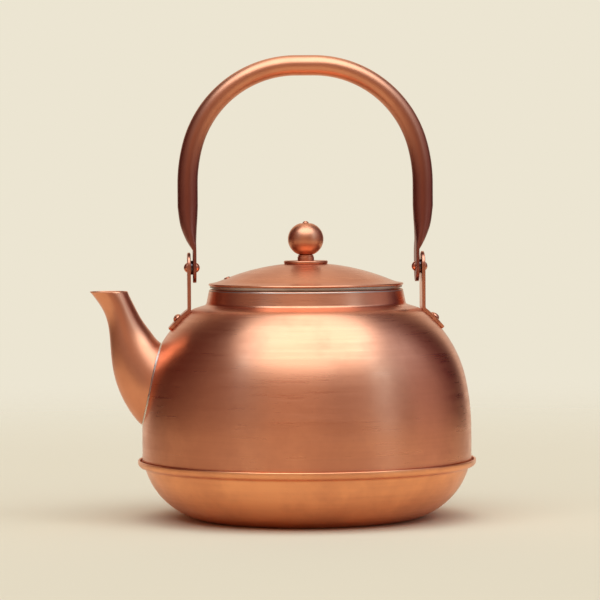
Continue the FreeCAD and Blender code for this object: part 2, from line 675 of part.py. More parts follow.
def make_knob():
    bulge = "(ball_radius - ball_seat)"
    round_arc = "(%s^2 + (ball_height/2)^2)/(2*%s)" % (bulge, bulge)
    edge = "disc_thickness*0.55"
    foot = "(disc_radius - %s)" % edge
    keep(turned_body("knob_disc", [
        ("knob_bore", cap_height("knob_bore"), "lid_arc", "right"),
        (foot, cap_height(foot), edge, "left"),
        ("disc_radius", "%s + %s" % (cap_height("disc_radius"), edge)),
        ("disc_radius", "disc_z - " + edge, edge, "left"),
        (foot, "disc_z"),
        ("knob_bore", "disc_z"),
    ]), "knob_disc")
    keep(turned_body("knob_collar", [
        ("knob_bore", "disc_z"),
        ("collar_radius", "disc_z"),
        ("collar_radius", "collar_z"),
        ("knob_bore", "collar_z"),
    ]), "knob_collar")
    keep(turned_body("knob_ball", [
        ("knob_bore", "collar_z"),
        ("ball_seat", "collar_z", round_arc, "left"),
        ("ball_seat", "collar_z + ball_height"),
        ("knob_bore", "collar_z + ball_height"),
    ]), "knob_ball")
    keep(turned_body("knob_rivet", [
        ("0", cap_height("knob_bore", "lid_sheet + rove_thickness")),
        ("knob_bore", cap_height("knob_bore", "lid_sheet + rove_thickness")),
        ("knob_bore", "collar_z + ball_height"),
        ("0", "collar_z + ball_height + stub_height"),
    ]), "knob_rivet")
    keep(turned_body("knob_rove", [
        ("knob_bore", cap_height("knob_bore", "lid_sheet + rove_thickness")),
        ("rove_radius", cap_height("knob_bore", "lid_sheet + rove_thickness")),
        ("rove_radius", cap_height("rove_radius", "lid_sheet")),
        ("knob_bore", cap_height("rove_radius", "lid_sheet")),
    ]), "knob_rove")


# ---------------------------------------------------------------- bail

def bail_path():
    """The middle line of the tube, from one leg over the top to the other."""
    body = DOC.addObject("PartDesign::Body", "bail_guide")
    path = add_sketch(body, "bail_line", "XZ_Plane")
    open_line(path, arch_points())
    return path


def arch_points():
    """The arch as named places: leg end, side start, corner start, top, and back down."""
    right = [
        ("leg_x", "pivot_z + leg_rise"),
        ("leg_x", "side_z", "side_arc", "left"),
        ("corner_x + corner_arc*cos(side_turn)", "corner_z + corner_arc*sin(side_turn)",
         "corner_arc", "left"),
        ("corner_x", "bail_top"),
    ]
    left = [("-(%s)" % corner[0], corner[1]) for corner in reversed(right)]
    left[0] = left[0] + ("corner_arc", "left")
    left[1] = left[1] + ("side_arc", "left")
    return right + left


def open_line(sketch, corners):
    """An open line through corners, with arcs where a corner gives a radius."""
    points = [FreeCAD.Vector(value(c[0]), value(c[1]), 0) for c in corners]
    previous = None
    for index, corner in enumerate(corners[:-1]):
        start, end = points[index], points[index + 1]
        if len(corner) == 2:
            shape = sketch.addGeometry(Part.LineSegment(start, end), False)
        else:
            shape = sketch.addGeometry(arc_between(start, end, value(corner[2]), True), False)
            number = sketch.addConstraint(
                Sketcher.Constraint("Radius", shape, value(corner[2])))
            bind(sketch, "Constraints[%d]" % number, corner[2])
        pin_point(sketch, shape, 1, corner)
        if previous is not None:
            sketch.addConstraint(Sketcher.Constraint("Coincident", previous, 2, shape, 1))
        previous = shape
    pin_point(sketch, previous, 2, corners[-1])


def tube(name, path, shrink):
    """The arch as a solid rod, thinner than the outside by shrink."""
    section = oval(name + "_section", ("leg_x", "pivot_z + leg_rise"),
                   "tube_radius - " + shrink, "tube_half_width - " + shrink, "0")
    sweep = DOC.addObject("Part::Sweep", name)
    sweep.Sections = [section]
    sweep.Spine = path
    sweep.Solid = True
    sweep.Frenet = False
    sweep.Transition = "Right corner"
    return sweep


def squashed_leg(name, side, shrink, stations):
    """One end of the tube, from round to flat. A station is (down, inwards, half, width)."""
    sections = []
    for index, (rise, inwards, half, width) in enumerate(stations):
        sections.append(oval("%s_%d" % (name, index),
                             ("%d*(leg_x - %s)" % (side, inwards), "pivot_z + " + rise),
                             "%s - %s" % (half, shrink), "%s - %s" % (width, shrink), "0"))
    loft = DOC.addObject("Part::Loft", name)
    loft.Sections = sections
    loft.Solid = True
    return loft


def make_bail():
    path = bail_path()
    squash = "(leg_rise - flat_rise)"
    spread = "(strap_width/2 - tube_half_width)"
    stations = [
        ("leg_rise", "0", "tube_radius", "tube_half_width"),
        ("leg_rise - %s*0.35" % squash, "0.1*bail_splay", "tube_radius*0.86",
         "tube_half_width + %s*0.3" % spread),
        ("leg_rise - %s*0.7" % squash, "0.45*bail_splay", "tube_radius*0.56",
         "tube_half_width + %s*0.75" % spread),
        ("flat_rise", "bail_splay", "tab_thickness/2", "strap_width/2"),
    ]
    outside = [tube("bail_outside", path, "0")]
    hollows = [tube("bail_inside", path, "tube_wall")]
    for side, word in ((1, "rear"), (-1, "front")):
        outside.append(squashed_leg("leg_%s" % word, side, "0", stations))
        hollows.append(squashed_leg("leg_hollow_%s" % word, side, "tube_wall", stations[:3]))
        flat = box("tab_%s" % word, "tab_thickness", "strap_width", "flat_rise")
        place(flat, "%d*tab_x - tab_thickness/2" % side, "-strap_width/2", "pivot_z")
        end = cylinder("tab_end_%s" % word, "strap_width/2", "tab_thickness")
        turn_to(end, Y_AXIS, "90")
        place(end, "%d*tab_x - tab_thickness/2" % side, "0", "pivot_z")
        outside += [flat, end]
    hollow = cut("bail_tube", fuse("bail_solid", outside), fuse("bail_hollow", hollows))
    bore = cylinder("bail_bore", "pivot_shank + running_gap", "2*ear_x")
    turn_to(bore, Y_AXIS, "90")
    place(bore, "-ear_x", "0", "pivot_z")
    keep(cut("bail_handle", hollow, bore), "bail_handle")


# ---------------------------------------------------------------- build

OWNER = {}
SUB_PARTS = []
sizes = DOC.addObject("Spreadsheet::Sheet", "Sizes")
places = DOC.addObject("Spreadsheet::Sheet", "Places")
fill_sheet(sizes, SIZES, OWNER, False)
DOC.recompute()
fill_sheet(places, PLACES, OWNER, True)
DOC.recompute()

bowl = make_bowl()
make_seam_solder(bowl)

envelope = shell_envelope("shell_solid", "0")
spout_outside = spout_loft("spout_outside", "0")
spout_channel = spout_loft("spout_channel", "-spout_sheet")
rear_holes = foot_rivet_tool("rear_shell_holes", "foot_rivet_shank", "24")
front_holes = foot_rivet_tool("front_shell_holes", "foot_rivet_shank", "24")
mirrored_side(front_holes)
make_shell(spout_channel, fuse("shell_rivet_holes", [rear_holes, front_holes]))
make_spout(envelope, shell_envelope("solder_solid", "solder_width"), spout_outside, spout_channel)

strap_envelope = shell_envelope("strap_solid", "strap_thickness")
inner_envelope = shell_envelope("shell_inside", "-shell_sheet")
for end, on_spout_side in (("front", True), ("rear", False)):
    make_ear(end + "_ear", envelope, strap_envelope, on_spout_side)
    make_foot_rivets(end, inner_envelope, on_spout_side)
    make_pivot(end, on_spout_side)

make_lid()
make_skirt()
make_knob()
make_bail()
DOC.recompute()

for item in DOC.Objects:
    if "Invalid" in item.State or "Error" in item.State:
        raise RuntimeError("%s failed: %s" % (item.Name, item.State))
for item in SUB_PARTS:
    if item.Shape.isNull() or not item.Shape.isValid():
        raise RuntimeError("%s has no valid shape" % item.Label)

os.makedirs("parts", exist_ok=True)
for item in SUB_PARTS:
    item.Shape.exportStep("parts/%s.step" % item.Label)
    print(item.Label, len(item.Shape.Solids), round(item.Shape.Volume, 1))
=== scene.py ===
import math

import bmesh
import bpy
import numpy as np
from mathutils import Matrix, Vector


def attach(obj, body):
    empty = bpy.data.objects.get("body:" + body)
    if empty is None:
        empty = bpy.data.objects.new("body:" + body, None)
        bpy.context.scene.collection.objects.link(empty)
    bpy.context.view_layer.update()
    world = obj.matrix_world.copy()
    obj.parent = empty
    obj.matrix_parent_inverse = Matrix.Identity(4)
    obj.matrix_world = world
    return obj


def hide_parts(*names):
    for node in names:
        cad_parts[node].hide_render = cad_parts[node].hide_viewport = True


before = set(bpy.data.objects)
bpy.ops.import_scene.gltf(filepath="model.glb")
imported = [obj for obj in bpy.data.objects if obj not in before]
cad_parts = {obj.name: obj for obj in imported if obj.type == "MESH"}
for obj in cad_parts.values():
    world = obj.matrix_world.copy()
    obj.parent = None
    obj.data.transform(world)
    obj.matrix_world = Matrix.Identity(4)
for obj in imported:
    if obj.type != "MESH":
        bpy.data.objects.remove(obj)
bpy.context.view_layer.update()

MM = 0.001


# ---------------------------------------------------------------- sizes, in millimetres

LIP_R, LIP_Z, SHELL_R = 95.0, 31.86, 92.45
BOWL_R, BOWL_ARC, FLAT_R, SHEET = 90.43, 40.0, 59.46, 1.2
RIM_Z, MOUTH_R, NECK_R, NECK_Z = 128.8, 51.8, 55.9, 121.3
PIVOT_Z, EAR_X, STRAP, STRAP_W = 141.0, 65.7, 1.9, 17.0
RIVET_OUT, RIVET_APART = 5.5, 9.5
FLAT_END, TUBE_START = 9.8, 34.0
TAB_OUT, TAB = 63.45, 1.95
TAB_X = TAB_OUT - TAB / 2
LEG_X = TAB_X + 3.6
LID_R, LID_ARC, FLANGE_Z, LID_EDGE = 54.75, 123.0, 130.8, 1.2
DOME_R, BRIM_ARC, EDGE_R = 47.35, 27.0, 54.35
BRIM_X = (LID_ARC + BRIM_ARC) * DOME_R / LID_ARC
BRIM_RISE = math.sqrt((LID_ARC + BRIM_ARC) ** 2 - BRIM_X ** 2)
CAP_Z = (FLANGE_Z + 0.95 * LID_EDGE - BRIM_RISE
         + math.sqrt(BRIM_ARC ** 2 - (BRIM_X - EDGE_R) ** 2))
VENT_X, VENT_R = -44.35, 1.25
DISC_R, DISC_EDGE, COLLAR_R, KNOB_BORE, BALL_SEAT = 12.35, 0.715, 4.65, 1.7, 3.2
DISC_FOOT = DISC_R - DISC_EDGE
DISC_Z = CAP_Z + LID_ARC + 1.3
COLLAR_Z = DISC_Z + 3.1
BALL_HEIGHT, BALL_BULGE = 17.8, 6.8
BALL_Z = COLLAR_Z + BALL_HEIGHT
SPOUT_TOP = 128.1


# ---------------------------------------------------------------- lines

def arc(start, end, radius, left, step):
    """Points after start up to end on an arc whose centre is on the left or right of the way."""
    a, b = np.array(start, float), np.array(end, float)
    chord = b - a
    length = np.hypot(*chord)
    normal = np.array([-chord[1], chord[0]]) / length * (1 if left else -1)
    centre = (a + b) / 2 + normal * math.sqrt(max(radius ** 2 - length ** 2 / 4, 0))
    first = math.atan2(*(a - centre)[::-1])
    turn = math.atan2(*(b - centre)[::-1]) - first
    turn = turn % (2 * math.pi) if left else -((-turn) % (2 * math.pi))
    count = max(3, math.ceil(abs(turn) * radius / step), math.ceil(abs(turn) / math.radians(9)))
    angles = first + turn * np.arange(1, count + 1) / count
    return [(centre[0] + radius * math.cos(t), centre[1] + radius * math.sin(t)) for t in angles]


def line(corners, step=1.5):
    """A line through corners (r, z); a corner with a radius and a side starts an arc."""
    points = [tuple(corners[0][:2])]
    for here, there in zip(corners, corners[1:]):
        if len(here) > 2:
            points += arc(here[:2], there[:2], here[2], here[3] == "left", step)
        else:
            gap = math.dist(here[:2], there[:2])
            count = max(1, math.ceil(gap / (2 * step)))
            points += [(here[0] + (there[0] - here[0]) * i / count,
                        here[1] + (there[1] - here[1]) * i / count)
                       for i in range(1, count + 1)]
    return points


def softened(points, radius, closed=False, angle=24):
    """The line with every sharp corner rounded, and a support point on each side of it."""
    points = [np.array(p, float) for p in points]
    count = len(points)
    out = []
    for i, p in enumerate(points):
        if not closed and i in (0, count - 1):
            out.append(p)
            continue
        before, after = points[i - 1] - p, points[(i + 1) % count] - p
        size_b, size_a = np.linalg.norm(before), np.linalg.norm(after)
        if size_a < 1e-6 or size_b < 1e-6:
            continue
        before, after = before / size_b, after / size_a
        turn = 180 - math.degrees(math.acos(np.clip(before @ after, -1, 1)))
        if turn < angle:
            out.append(p)
            continue
        reach = min(radius * math.tan(math.radians(turn / 2)), 0.42 * size_b, 0.42 * size_a)
        spare = min(0.5 * reach, 0.1 * size_a, 0.1 * size_b)
        out.append(p + before * (reach + spare))
        for t in (0, 0.25, 0.5, 0.75, 1):
            out.append((1 - t) ** 2 * (p + before * reach) + 2 * t * (1 - t) * p
                       + t ** 2 * (p + after * reach))
        out.append(p + after * (reach + spare))
    return [tuple(p) for p in out]


def smooth_table(xs, ys, x):
    """A smooth curve through a table that never overshoots between two rows."""
    xs, ys = np.array(xs, float), np.array(ys, float)
    h, d = np.diff(xs), np.diff(ys) / np.diff(xs)
    slope = np.zeros(len(xs))
    for i in range(1, len(xs) - 1):
        if d[i - 1] * d[i] > 0:
            w1, w2 = 2 * h[i] + h[i - 1], h[i] + 2 * h[i - 1]
            slope[i] = (w1 + w2) / (w1 / d[i - 1] + w2 / d[i])
    slope[0], slope[-1] = d[0], d[-1]
    i = int(np.clip(np.searchsorted(xs, x) - 1, 0, len(xs) - 2))
    t = (x - xs[i]) / h[i]
    return ((2 * t ** 3 - 3 * t ** 2 + 1) * ys[i] + (t ** 3 - 2 * t ** 2 + t) * h[i] * slope[i]
            + (3 * t ** 2 - 2 * t ** 3) * ys[i + 1] + (t ** 3 - t ** 2) * h[i] * slope[i + 1])


# ---------------------------------------------------------------- meshes

def mesh_object(name, points, faces, uvs=None):
    """A smooth mesh from points in millimetres."""
    mesh = bpy.data.meshes.new(name)
    mesh.from_pydata([Vector(p) * MM for p in points], [], faces)
    if uvs is not None:
        layer = mesh.uv_layers.new(name="UVMap")
        flat = [c for face in uvs for pair in face for c in pair]
        layer.data.foreach_set("uv", flat)
    mesh.shade_smooth()
    mesh.validate()
    item = bpy.data.objects.new(name, mesh)
    bpy.context.scene.collection.objects.link(item)
    return item


def lathe(name, points, segments=256, closed=True):
    """The line (r, z) turned about Z; a closed line gives a solid ring or shell."""
    rings, verts = [], []
    for r, z in points:
        if r < 1e-5:
            rings.append([len(verts)] * segments)
            verts.append((0, 0, z))
            continue
        rings.append(list(range(len(verts), len(verts) + segments)))
        verts += [(r * math.cos(2 * math.pi * k / segments),
                   r * math.sin(2 * math.pi * k / segments), z) for k in range(segments)]
    run = [0.0]
    for a, b in zip(points, points[1:] + points[:1]):
        run.append(run[-1] + math.dist(a, b))
    faces, uvs = [], []
    for i in range(len(points) - (0 if closed else 1)):
        a, b = rings[i], rings[(i + 1) % len(points)]
        if a[0] == a[1] and b[0] == b[1]:
            continue
        va, vb = run[i] / run[-1], run[i + 1] / run[-1]
        for k in range(segments):
            m = (k + 1) % segments
            ua, ub = k / segments, (k + 1) / segments
            if a[0] == a[1]:
                faces.append((a[0], b[m], b[k]))
                uvs.append(((ua, va), (ub, vb), (ua, vb)))
            elif b[0] == b[1]:
                faces.append((a[k], a[m], b[0]))
                uvs.append(((ua, va), (ub, va), (ua, vb)))
            else:
                faces.append((a[k], a[m], b[m], b[k]))
                uvs.append(((ua, va), (ub, va), (ub, vb), (ua, vb)))
    return mesh_object(name, verts, faces, uvs)


def skin(name, rows, caps=True):
    """A tube over rows of points (each row closed), with its ends filled towards their middles."""
    count, width = len(rows), len(rows[0])
    verts = [tuple(p) for row in rows for p in row]
    faces, uvs = [], []
    for i in range(count - 1):
        for k in range(width):
            m = (k + 1) % width
            faces.append((i * width + k, i * width + m, (i + 1) * width + m, (i + 1) * width + k))
            ua, ub = i / (count - 1), (i + 1) / (count - 1)
            va, vb = k / width, (k + 1) / width
            uvs.append(((ua, va), (ua, vb), (ub, vb), (ub, va)))
    if caps:
        for row, u in ((0, 0.0), (count - 1, 1.0)):
            middle = len(verts)
            verts.append(tuple(np.mean(rows[row], axis=0)))
            for k in range(width):
                m = (k + 1) % width
                here, there = row * width + k, row * width + m
                faces.append((there, here, middle) if row == 0 else (here, there, middle))
                uvs.append(((u, k / width), (u, (k + 1) / width), (u, k / width)))
    return mesh_object(name, verts, faces, uvs)


def outward(item):
    """Turns every face to the outside of the closed mesh."""
    bm = bmesh.new()
    bm.from_mesh(item.data)
    bmesh.ops.remove_doubles(bm, verts=bm.verts, dist=1e-7)
    bmesh.ops.recalc_face_normals(bm, faces=bm.faces)
    bm.to_mesh(item.data)
    bm.free()
    return item


def carve(item, tool):
    """Cuts the tool out of the item and removes the tool."""
    change = item.modifiers.new("cut", "BOOLEAN")
    change.operation = "DIFFERENCE"
    change.solver = "EXACT"
    change.object = tool
    depsgraph = bpy.context.evaluated_depsgraph_get()
    mesh = bpy.data.meshes.new_from_object(item.evaluated_get(depsgraph))
    item.modifiers.clear()
    old = item.data
    item.data = mesh
    mesh.name = old.name
    bpy.data.meshes.remove(old)
    bpy.data.objects.remove(tool)
    return item


def sharp_edges(item, angle=40):
    """Smooth shading that stops at edges sharper than the angle."""
    item.data.set_sharp_from_angle(angle=math.radians(angle))
    return item


def rod(name, start, end, radius, segments=48):
    """A plain closed cylinder between two points, used to bore holes."""
    start, end = Vector(start), Vector(end)
    axis = (end - start).normalized()
    side = axis.orthogonal().normalized()
    other = axis.cross(side)
    rows = [[p + (side * math.cos(2 * math.pi * k / segments)
                  + other * math.sin(2 * math.pi * k / segments)) * radius
             for k in range(segments)] for p in (start, end)]
    return outward(skin(name, rows))


def stand(item, place, axis):
    """Puts a piece turned about its own Z at a place, with that Z along an axis."""
    turn = Vector((0, 0, 1)).rotation_difference(Vector(axis).normalized())
    item.matrix_world = Matrix.Translation(Vector(place) * MM) @ turn.to_matrix().to_4x4()
    return item


def two_finishes(item, outer, inner, is_inner):
    """Outer finish everywhere but on the faces for which is_inner(centre, normal) holds."""
    item.data.materials.clear()
    item.data.materials.append(outer)
    item.data.materials.append(inner)
    for face in item.data.polygons:
        face.material_index = 1 if is_inner(face.center / MM, face.normal) else 0


def done(item, body, nodes, finish):
    """Names the piece's body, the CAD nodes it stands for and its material."""
    if finish is not None:
        item.data.materials.clear()
        item.data.materials.append(finish)
    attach(item, body)
    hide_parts(*([nodes] if isinstance(nodes, str) else nodes))
    return item


# ---------------------------------------------------------------- materials

def new_node(tree, kind, inputs=None, **settings):
    """A shader node with its settings, and its inputs set or linked."""
    node = tree.nodes.new(kind)
    for key, setting in settings.items():
        setattr(node, key, setting)
    for key, source in (inputs or {}).items():
        if isinstance(source, bpy.types.NodeSocket):
            tree.links.new(source, node.inputs[key])
        else:
            node.inputs[key].default_value = source
    return node


def maths(tree, operation, a, b=0.0, c=0.0):
    """The result of one maths node."""
    node = new_node(tree, "ShaderNodeMath", {0: a, 1: b, 2: c}, operation=operation)
    return node.outputs[0]


def remap(tree, source, low, high, to_low, to_high, smooth=False):
    """The source moved from one range to another and held at its ends."""
    node = new_node(tree, "ShaderNodeMapRange", {
        "Value": source, "From Min": low, "From Max": high, "To Min": to_low, "To Max": to_high})
    node.interpolation_type = "SMOOTHSTEP" if smooth else "LINEAR"
    return node.outputs[0]


def blend_colour(tree, factor, first, second, kind="MIX"):
    """Two colours mixed or added by a factor."""
    node = new_node(tree, "ShaderNodeMix", data_type="RGBA", blend_type=kind)
    for socket, source in ((node.inputs[0], factor), (node.inputs[6], first),
                           (node.inputs[7], second)):
        if isinstance(source, bpy.types.NodeSocket):
            tree.links.new(source, socket)
        else:
            socket.default_value = source if not isinstance(source, tuple) else (*source, 1)
    return node.outputs[2]


def grain_noise(tree, grain, pitch, stretch, detail, offset=0.0):
    """Noise drawn out along the brushing: round the Z axis, or along the first UV direction."""
    scale = 1 / (pitch * MM)
    if grain == "round":
        at = new_node(tree, "ShaderNodeTexCoord").outputs["Object"]
        parts = new_node(tree, "ShaderNodeSeparateXYZ", {0: at})
        flat = new_node(tree, "ShaderNodeCombineXYZ", {0: parts.outputs[0], 1: parts.outputs[1]})
        radius = new_node(tree, "ShaderNodeVectorMath", {0: flat.outputs[0]}, operation="LENGTH")
        x = maths(tree, "MULTIPLY", parts.outputs[0], stretch)
        y = maths(tree, "MULTIPLY", parts.outputs[1], stretch)
        z = maths(tree, "ADD", parts.outputs[2], offset)
        vector = new_node(tree, "ShaderNodeCombineXYZ", {0: x, 1: y, 2: z}).outputs[0]
        return new_node(tree, "ShaderNodeTexNoise", {
            "Vector": vector, "W": radius.outputs["Value"], "Scale": scale, "Detail": detail},
            noise_dimensions="4D").outputs["Fac"]
    length, girth = grain
    at = new_node(tree, "ShaderNodeUVMap", uv_map="UVMap").outputs["UV"]
    parts = new_node(tree, "ShaderNodeSeparateXYZ", {0: at})
    x = maths(tree, "MULTIPLY", parts.outputs[0], length * MM * stretch)
    angle = maths(tree, "MULTIPLY", parts.outputs[1], 2 * math.pi)
    ring = girth * MM / (2 * math.pi)
    y = maths(tree, "MULTIPLY", maths(tree, "COSINE", angle), ring)
    z = maths(tree, "MULTIPLY", maths(tree, "SINE", angle), ring)
    vector = new_node(tree, "ShaderNodeCombineXYZ", {0: x, 1: y, 2: z}).outputs[0]
    return new_node(tree, "ShaderNodeTexNoise", {
        "Vector": vector, "W": offset * 100, "Scale": scale, "Detail": detail},
        noise_dimensions="4D").outputs["Fac"]


def metal(name, colour, deep, roughness=0.3, grain="round", anisotropy=0.6, brush=1.0,
          patina=0.35, wear=0.3, turn=0.25, painted_shade=None):
    """Brushed metal: fine and coarse brushing, a cloudy patina, edges rubbed brighter and, if given, a
    painted shade that darkens the colour towards the bottom.
    """
    material = bpy.data.materials.new(name)
    material.use_nodes = True
    tree = material.node_tree
    tree.nodes.clear()
    fine = grain_noise(tree, grain, 0.32, 0.02, 3.0)
    coarse = grain_noise(tree, grain, 2.2, 0.035, 4.0, 0.031)
    at = new_node(tree, "ShaderNodeTexCoord").outputs["Object"]
    clouds = new_node(tree, "ShaderNodeTexNoise", {
        "Vector": at, "Scale": 26.0, "Detail": 4.0, "Roughness": 0.6}).outputs["Fac"]
    specks = new_node(tree, "ShaderNodeTexNoise", {
        "Vector": at, "Scale": 420.0, "Detail": 2.0, "Roughness": 0.5}).outputs["Fac"]
    streaks = remap(tree, coarse, 0.34, 0.68, -1.0, 1.0)
    cloudy = remap(tree, clouds, 0.38, 0.66, 0.0, patina, smooth=True)
    marks = remap(tree, specks, 0.68, 0.76, 0.0, 0.12, smooth=True)
    tint = blend_colour(tree, maths(tree, "ADD", cloudy, maths(tree, "MULTIPLY", streaks,
                                                               0.06 * brush)), colour, deep)
    tint = blend_colour(tree, marks, tint, deep)
    # Painted shade and reflection: below a given height the colour is mixed towards a dark shade colour, so
    # the lower part looks darker.
    if painted_shade:
        low, high, shade = painted_shade
        height_at = new_node(tree, "ShaderNodeSeparateXYZ", {0: at}).outputs[2]
        tint = blend_colour(tree, remap(tree, height_at, low, high, 1.0, 0.0, smooth=True),
                            tint, shade)
    edge = new_node(tree, "ShaderNodeNewGeometry").outputs["Pointiness"]
    rubbed = maths(tree, "MULTIPLY", remap(tree, edge, 0.52, 0.60, 0.0, wear, smooth=True),
                   remap(tree, coarse, 0.3, 0.6, 0.4, 1.0))
    pale = tuple(min(1.0, 1.12 * c + 0.05) for c in colour)
    tint = blend_colour(tree, rubbed, tint, pale)
    rough = maths(tree, "ADD", roughness, maths(tree, "MULTIPLY", streaks, 0.035 * brush))
    rough = maths(tree, "ADD", rough, maths(tree, "MULTIPLY", cloudy, 0.12))
    rough = maths(tree, "ADD", rough, remap(tree, fine, 0.3, 0.7, -0.03 * brush, 0.03 * brush))
    height = maths(tree, "ADD", fine, maths(tree, "MULTIPLY", coarse, 0.25))
    bump = new_node(tree, "ShaderNodeBump", {
        "Height": height, "Strength": 0.16 * brush, "Distance": 0.00003})
    if grain == "round":
        tangent = new_node(tree, "ShaderNodeTangent", direction_type="RADIAL", axis="Z")
    else:
        tangent = new_node(tree, "ShaderNodeTangent", direction_type="UV_MAP", uv_map="UVMap")
    shader = new_node(tree, "ShaderNodeBsdfPrincipled", {
        "Base Color": tint, "Roughness": rough, "Normal": bump.outputs[0],
        "Tangent": tangent.outputs[0], "Metallic": 1.0, "Anisotropic": anisotropy,
        "Anisotropic Rotation": turn})
    out = new_node(tree, "ShaderNodeOutputMaterial")
    tree.links.new(shader.outputs[0], out.inputs["Surface"])
    return material


COPPER = (0.80, 0.32, 0.17)
COPPER_DEEP = (0.52, 0.17, 0.09)
FITTING = (0.72, 0.28, 0.155)
FITTING_DEEP = (0.40, 0.12, 0.075)
shell_copper = metal("shell_copper", COPPER, COPPER_DEEP, roughness=0.30)
bowl_copper = metal("bowl_copper", (0.95, 0.40, 0.18), COPPER_DEEP, roughness=0.33, anisotropy=0.5)
lid_copper = metal("lid_copper", COPPER, COPPER_DEEP, roughness=0.28)
knob_copper = metal("knob_copper", COPPER, COPPER_DEEP, roughness=0.34, anisotropy=0.2, brush=0.5)
fitting_copper = metal("fitting_copper", FITTING, FITTING_DEEP, roughness=0.24,
                       anisotropy=0.2, brush=0.6, patina=0.6, wear=0.6)
# The bail gets a painted shade and reflection: its legs turn dark maroon towards the bottom, by height.
bail_copper = metal("bail_copper", COPPER, COPPER_DEEP, roughness=0.34, grain=(420.0, 38.0),
                    anisotropy=0.3, brush=0.4, painted_shade=(0.178, 0.264, (0.33, 0.10, 0.065)))
spout_copper = metal("spout_copper", COPPER, COPPER_DEEP, roughness=0.32, grain=(95.0, 80.0),
                     anisotropy=0.3, brush=0.5)
strap_copper = metal("strap_copper", FITTING, FITTING_DEEP, roughness=0.26,
                     grain=(34.0, 34.0), anisotropy=0.4, patina=0.6, wear=0.6)
tin = metal("tin", (0.70, 0.58, 0.47), (0.40, 0.32, 0.26), roughness=0.36, anisotropy=0.4,
            patina=0.8, wear=0.2)
solder = metal("solder", (0.92, 0.78, 0.66), (0.50, 0.40, 0.33), roughness=0.22, anisotropy=0.1,
               brush=0.5, patina=0.7, wear=0.2)
steel = metal("dark_steel", (0.16, 0.12, 0.115), (0.07, 0.05, 0.05), roughness=0.16,
              anisotropy=0.2, brush=0.5, patina=0.5, wear=0.5)


# ---------------------------------------------------------------- bowl and shell

def bowl_line():
    """The bowl's closed section: outside up to the lip, over it and back down the inside."""
    return [
        (0, 0), (FLAT_R, 0, BOWL_ARC, "left"), (BOWL_R, 27.0, 2.75, "right"),
        (92.70, 29.14, 2.75, "left"), (LIP_R, LIP_Z), (LIP_R, LIP_Z + 0.84, SHEET / 2, "left"),
        (LIP_R - SHEET / 2, LIP_Z + 1.44, SHEET / 2, "left"), (LIP_R - SHEET, LIP_Z + 0.84),
        (LIP_R - SHEET, LIP_Z, 1.55, "right"), (92.5, 30.33, 3.95, "left"),
        (89.25, 27.39, BOWL_ARC - SHEET, "right"), (FLAT_R, SHEET), (0, SHEET)]


BELLY_ARC, BELLY_TURN, CROWN_ARC, CROWN_SLOPE, BLEND = 137.07, 12.0, 12.0, 17.0, 2.0
WALL_TOP, SHELL_FOOT, RIM_R = 49.47, 30.7, 54.6
_slant = math.hypot(7.5, 1.3)
NECK_COS, NECK_SIN = 7.5 / _slant, 1.3 / _slant
_slope, _turn = math.radians(CROWN_SLOPE), math.radians(BELLY_TURN)
BELLY_X = SHELL_R - BELLY_ARC
BLEND_X, BLEND_Z = NECK_R + BLEND * NECK_COS, NECK_Z + BLEND * NECK_SIN
CROWN_X = BLEND_X - (CROWN_ARC + BLEND) * math.sin(_slope) + 5.0 * math.cos(_slope)
CROWN_Z = BLEND_Z - (CROWN_ARC + BLEND) * math.cos(_slope) - 5.0 * math.sin(_slope)
BELLY_END = (BELLY_X + BELLY_ARC * math.cos(_turn), WALL_TOP + BELLY_ARC * math.sin(_turn))
_gap = (BELLY_END[0] - CROWN_X, BELLY_END[1] - CROWN_Z)
SHOULDER_ARC = ((_gap[0] ** 2 + _gap[1] ** 2 - CROWN_ARC ** 2)
                / (2 * (_gap[0] * math.cos(_turn) + _gap[1] * math.sin(_turn) - CROWN_ARC)))
SHOULDER = (BELLY_END[0] - SHOULDER_ARC * math.cos(_turn),
            BELLY_END[1] - SHOULDER_ARC * math.sin(_turn))
TURN = ((CROWN_X - SHOULDER[0]) / (SHOULDER_ARC - CROWN_ARC),
        (CROWN_Z - SHOULDER[1]) / (SHOULDER_ARC - CROWN_ARC))


def meridian(offset):
    """The shell's outside line from its foot up to the neck, moved outwards by an offset."""
    return [
        (SHELL_R + offset, SHELL_FOOT),
        (SHELL_R + offset, WALL_TOP, BELLY_ARC + offset, "left"),
        (BELLY_X + (BELLY_ARC + offset) * math.cos(_turn),
         WALL_TOP + (BELLY_ARC + offset) * math.sin(_turn), SHOULDER_ARC + offset, "left"),
        (CROWN_X + (CROWN_ARC + offset) * TURN[0], CROWN_Z + (CROWN_ARC + offset) * TURN[1],
         CROWN_ARC + offset, "left"),
        (CROWN_X + (CROWN_ARC + offset) * math.sin(_slope),
         CROWN_Z + (CROWN_ARC + offset) * math.cos(_slope)),
        (BLEND_X - (BLEND - offset) * math.sin(_slope),
         BLEND_Z - (BLEND - offset) * math.cos(_slope), BLEND - offset, "right"),
    ]


def shell_sides():
    """The shell's outside and inside lines, from the foot up to the rim."""
    outside = meridian(0) + [
        (NECK_R, NECK_Z), (RIM_R + 1.2 * (1 - NECK_COS), RIM_Z - 1.2, 1.2, "left"),
        (RIM_R - 1.2 * NECK_COS, RIM_Z), (MOUTH_R, RIM_Z)]
    inside = meridian(-1.0) + [
        (NECK_R - NECK_COS, NECK_Z - NECK_SIN), (RIM_R - 1.0, RIM_Z - 1.0), (MOUTH_R, RIM_Z - 1.0)]
    return line(outside, 1.2), line(inside, 1.6)


_outside = np.array(line(meridian(0), 0.4))


def shell_radius(z):
    """Outside radius of the shell at a height."""
    return float(np.interp(z, _outside[:, 1], _outside[:, 0]))


def shell_height(r):
    """Height of the shell's outside on the shoulder at a radius."""
    top = _outside[_outside[:, 1] > WALL_TOP][::-1]
    return float(np.interp(r, top[:, 0], top[:, 1]))


# ---------------------------------------------------------------- spout

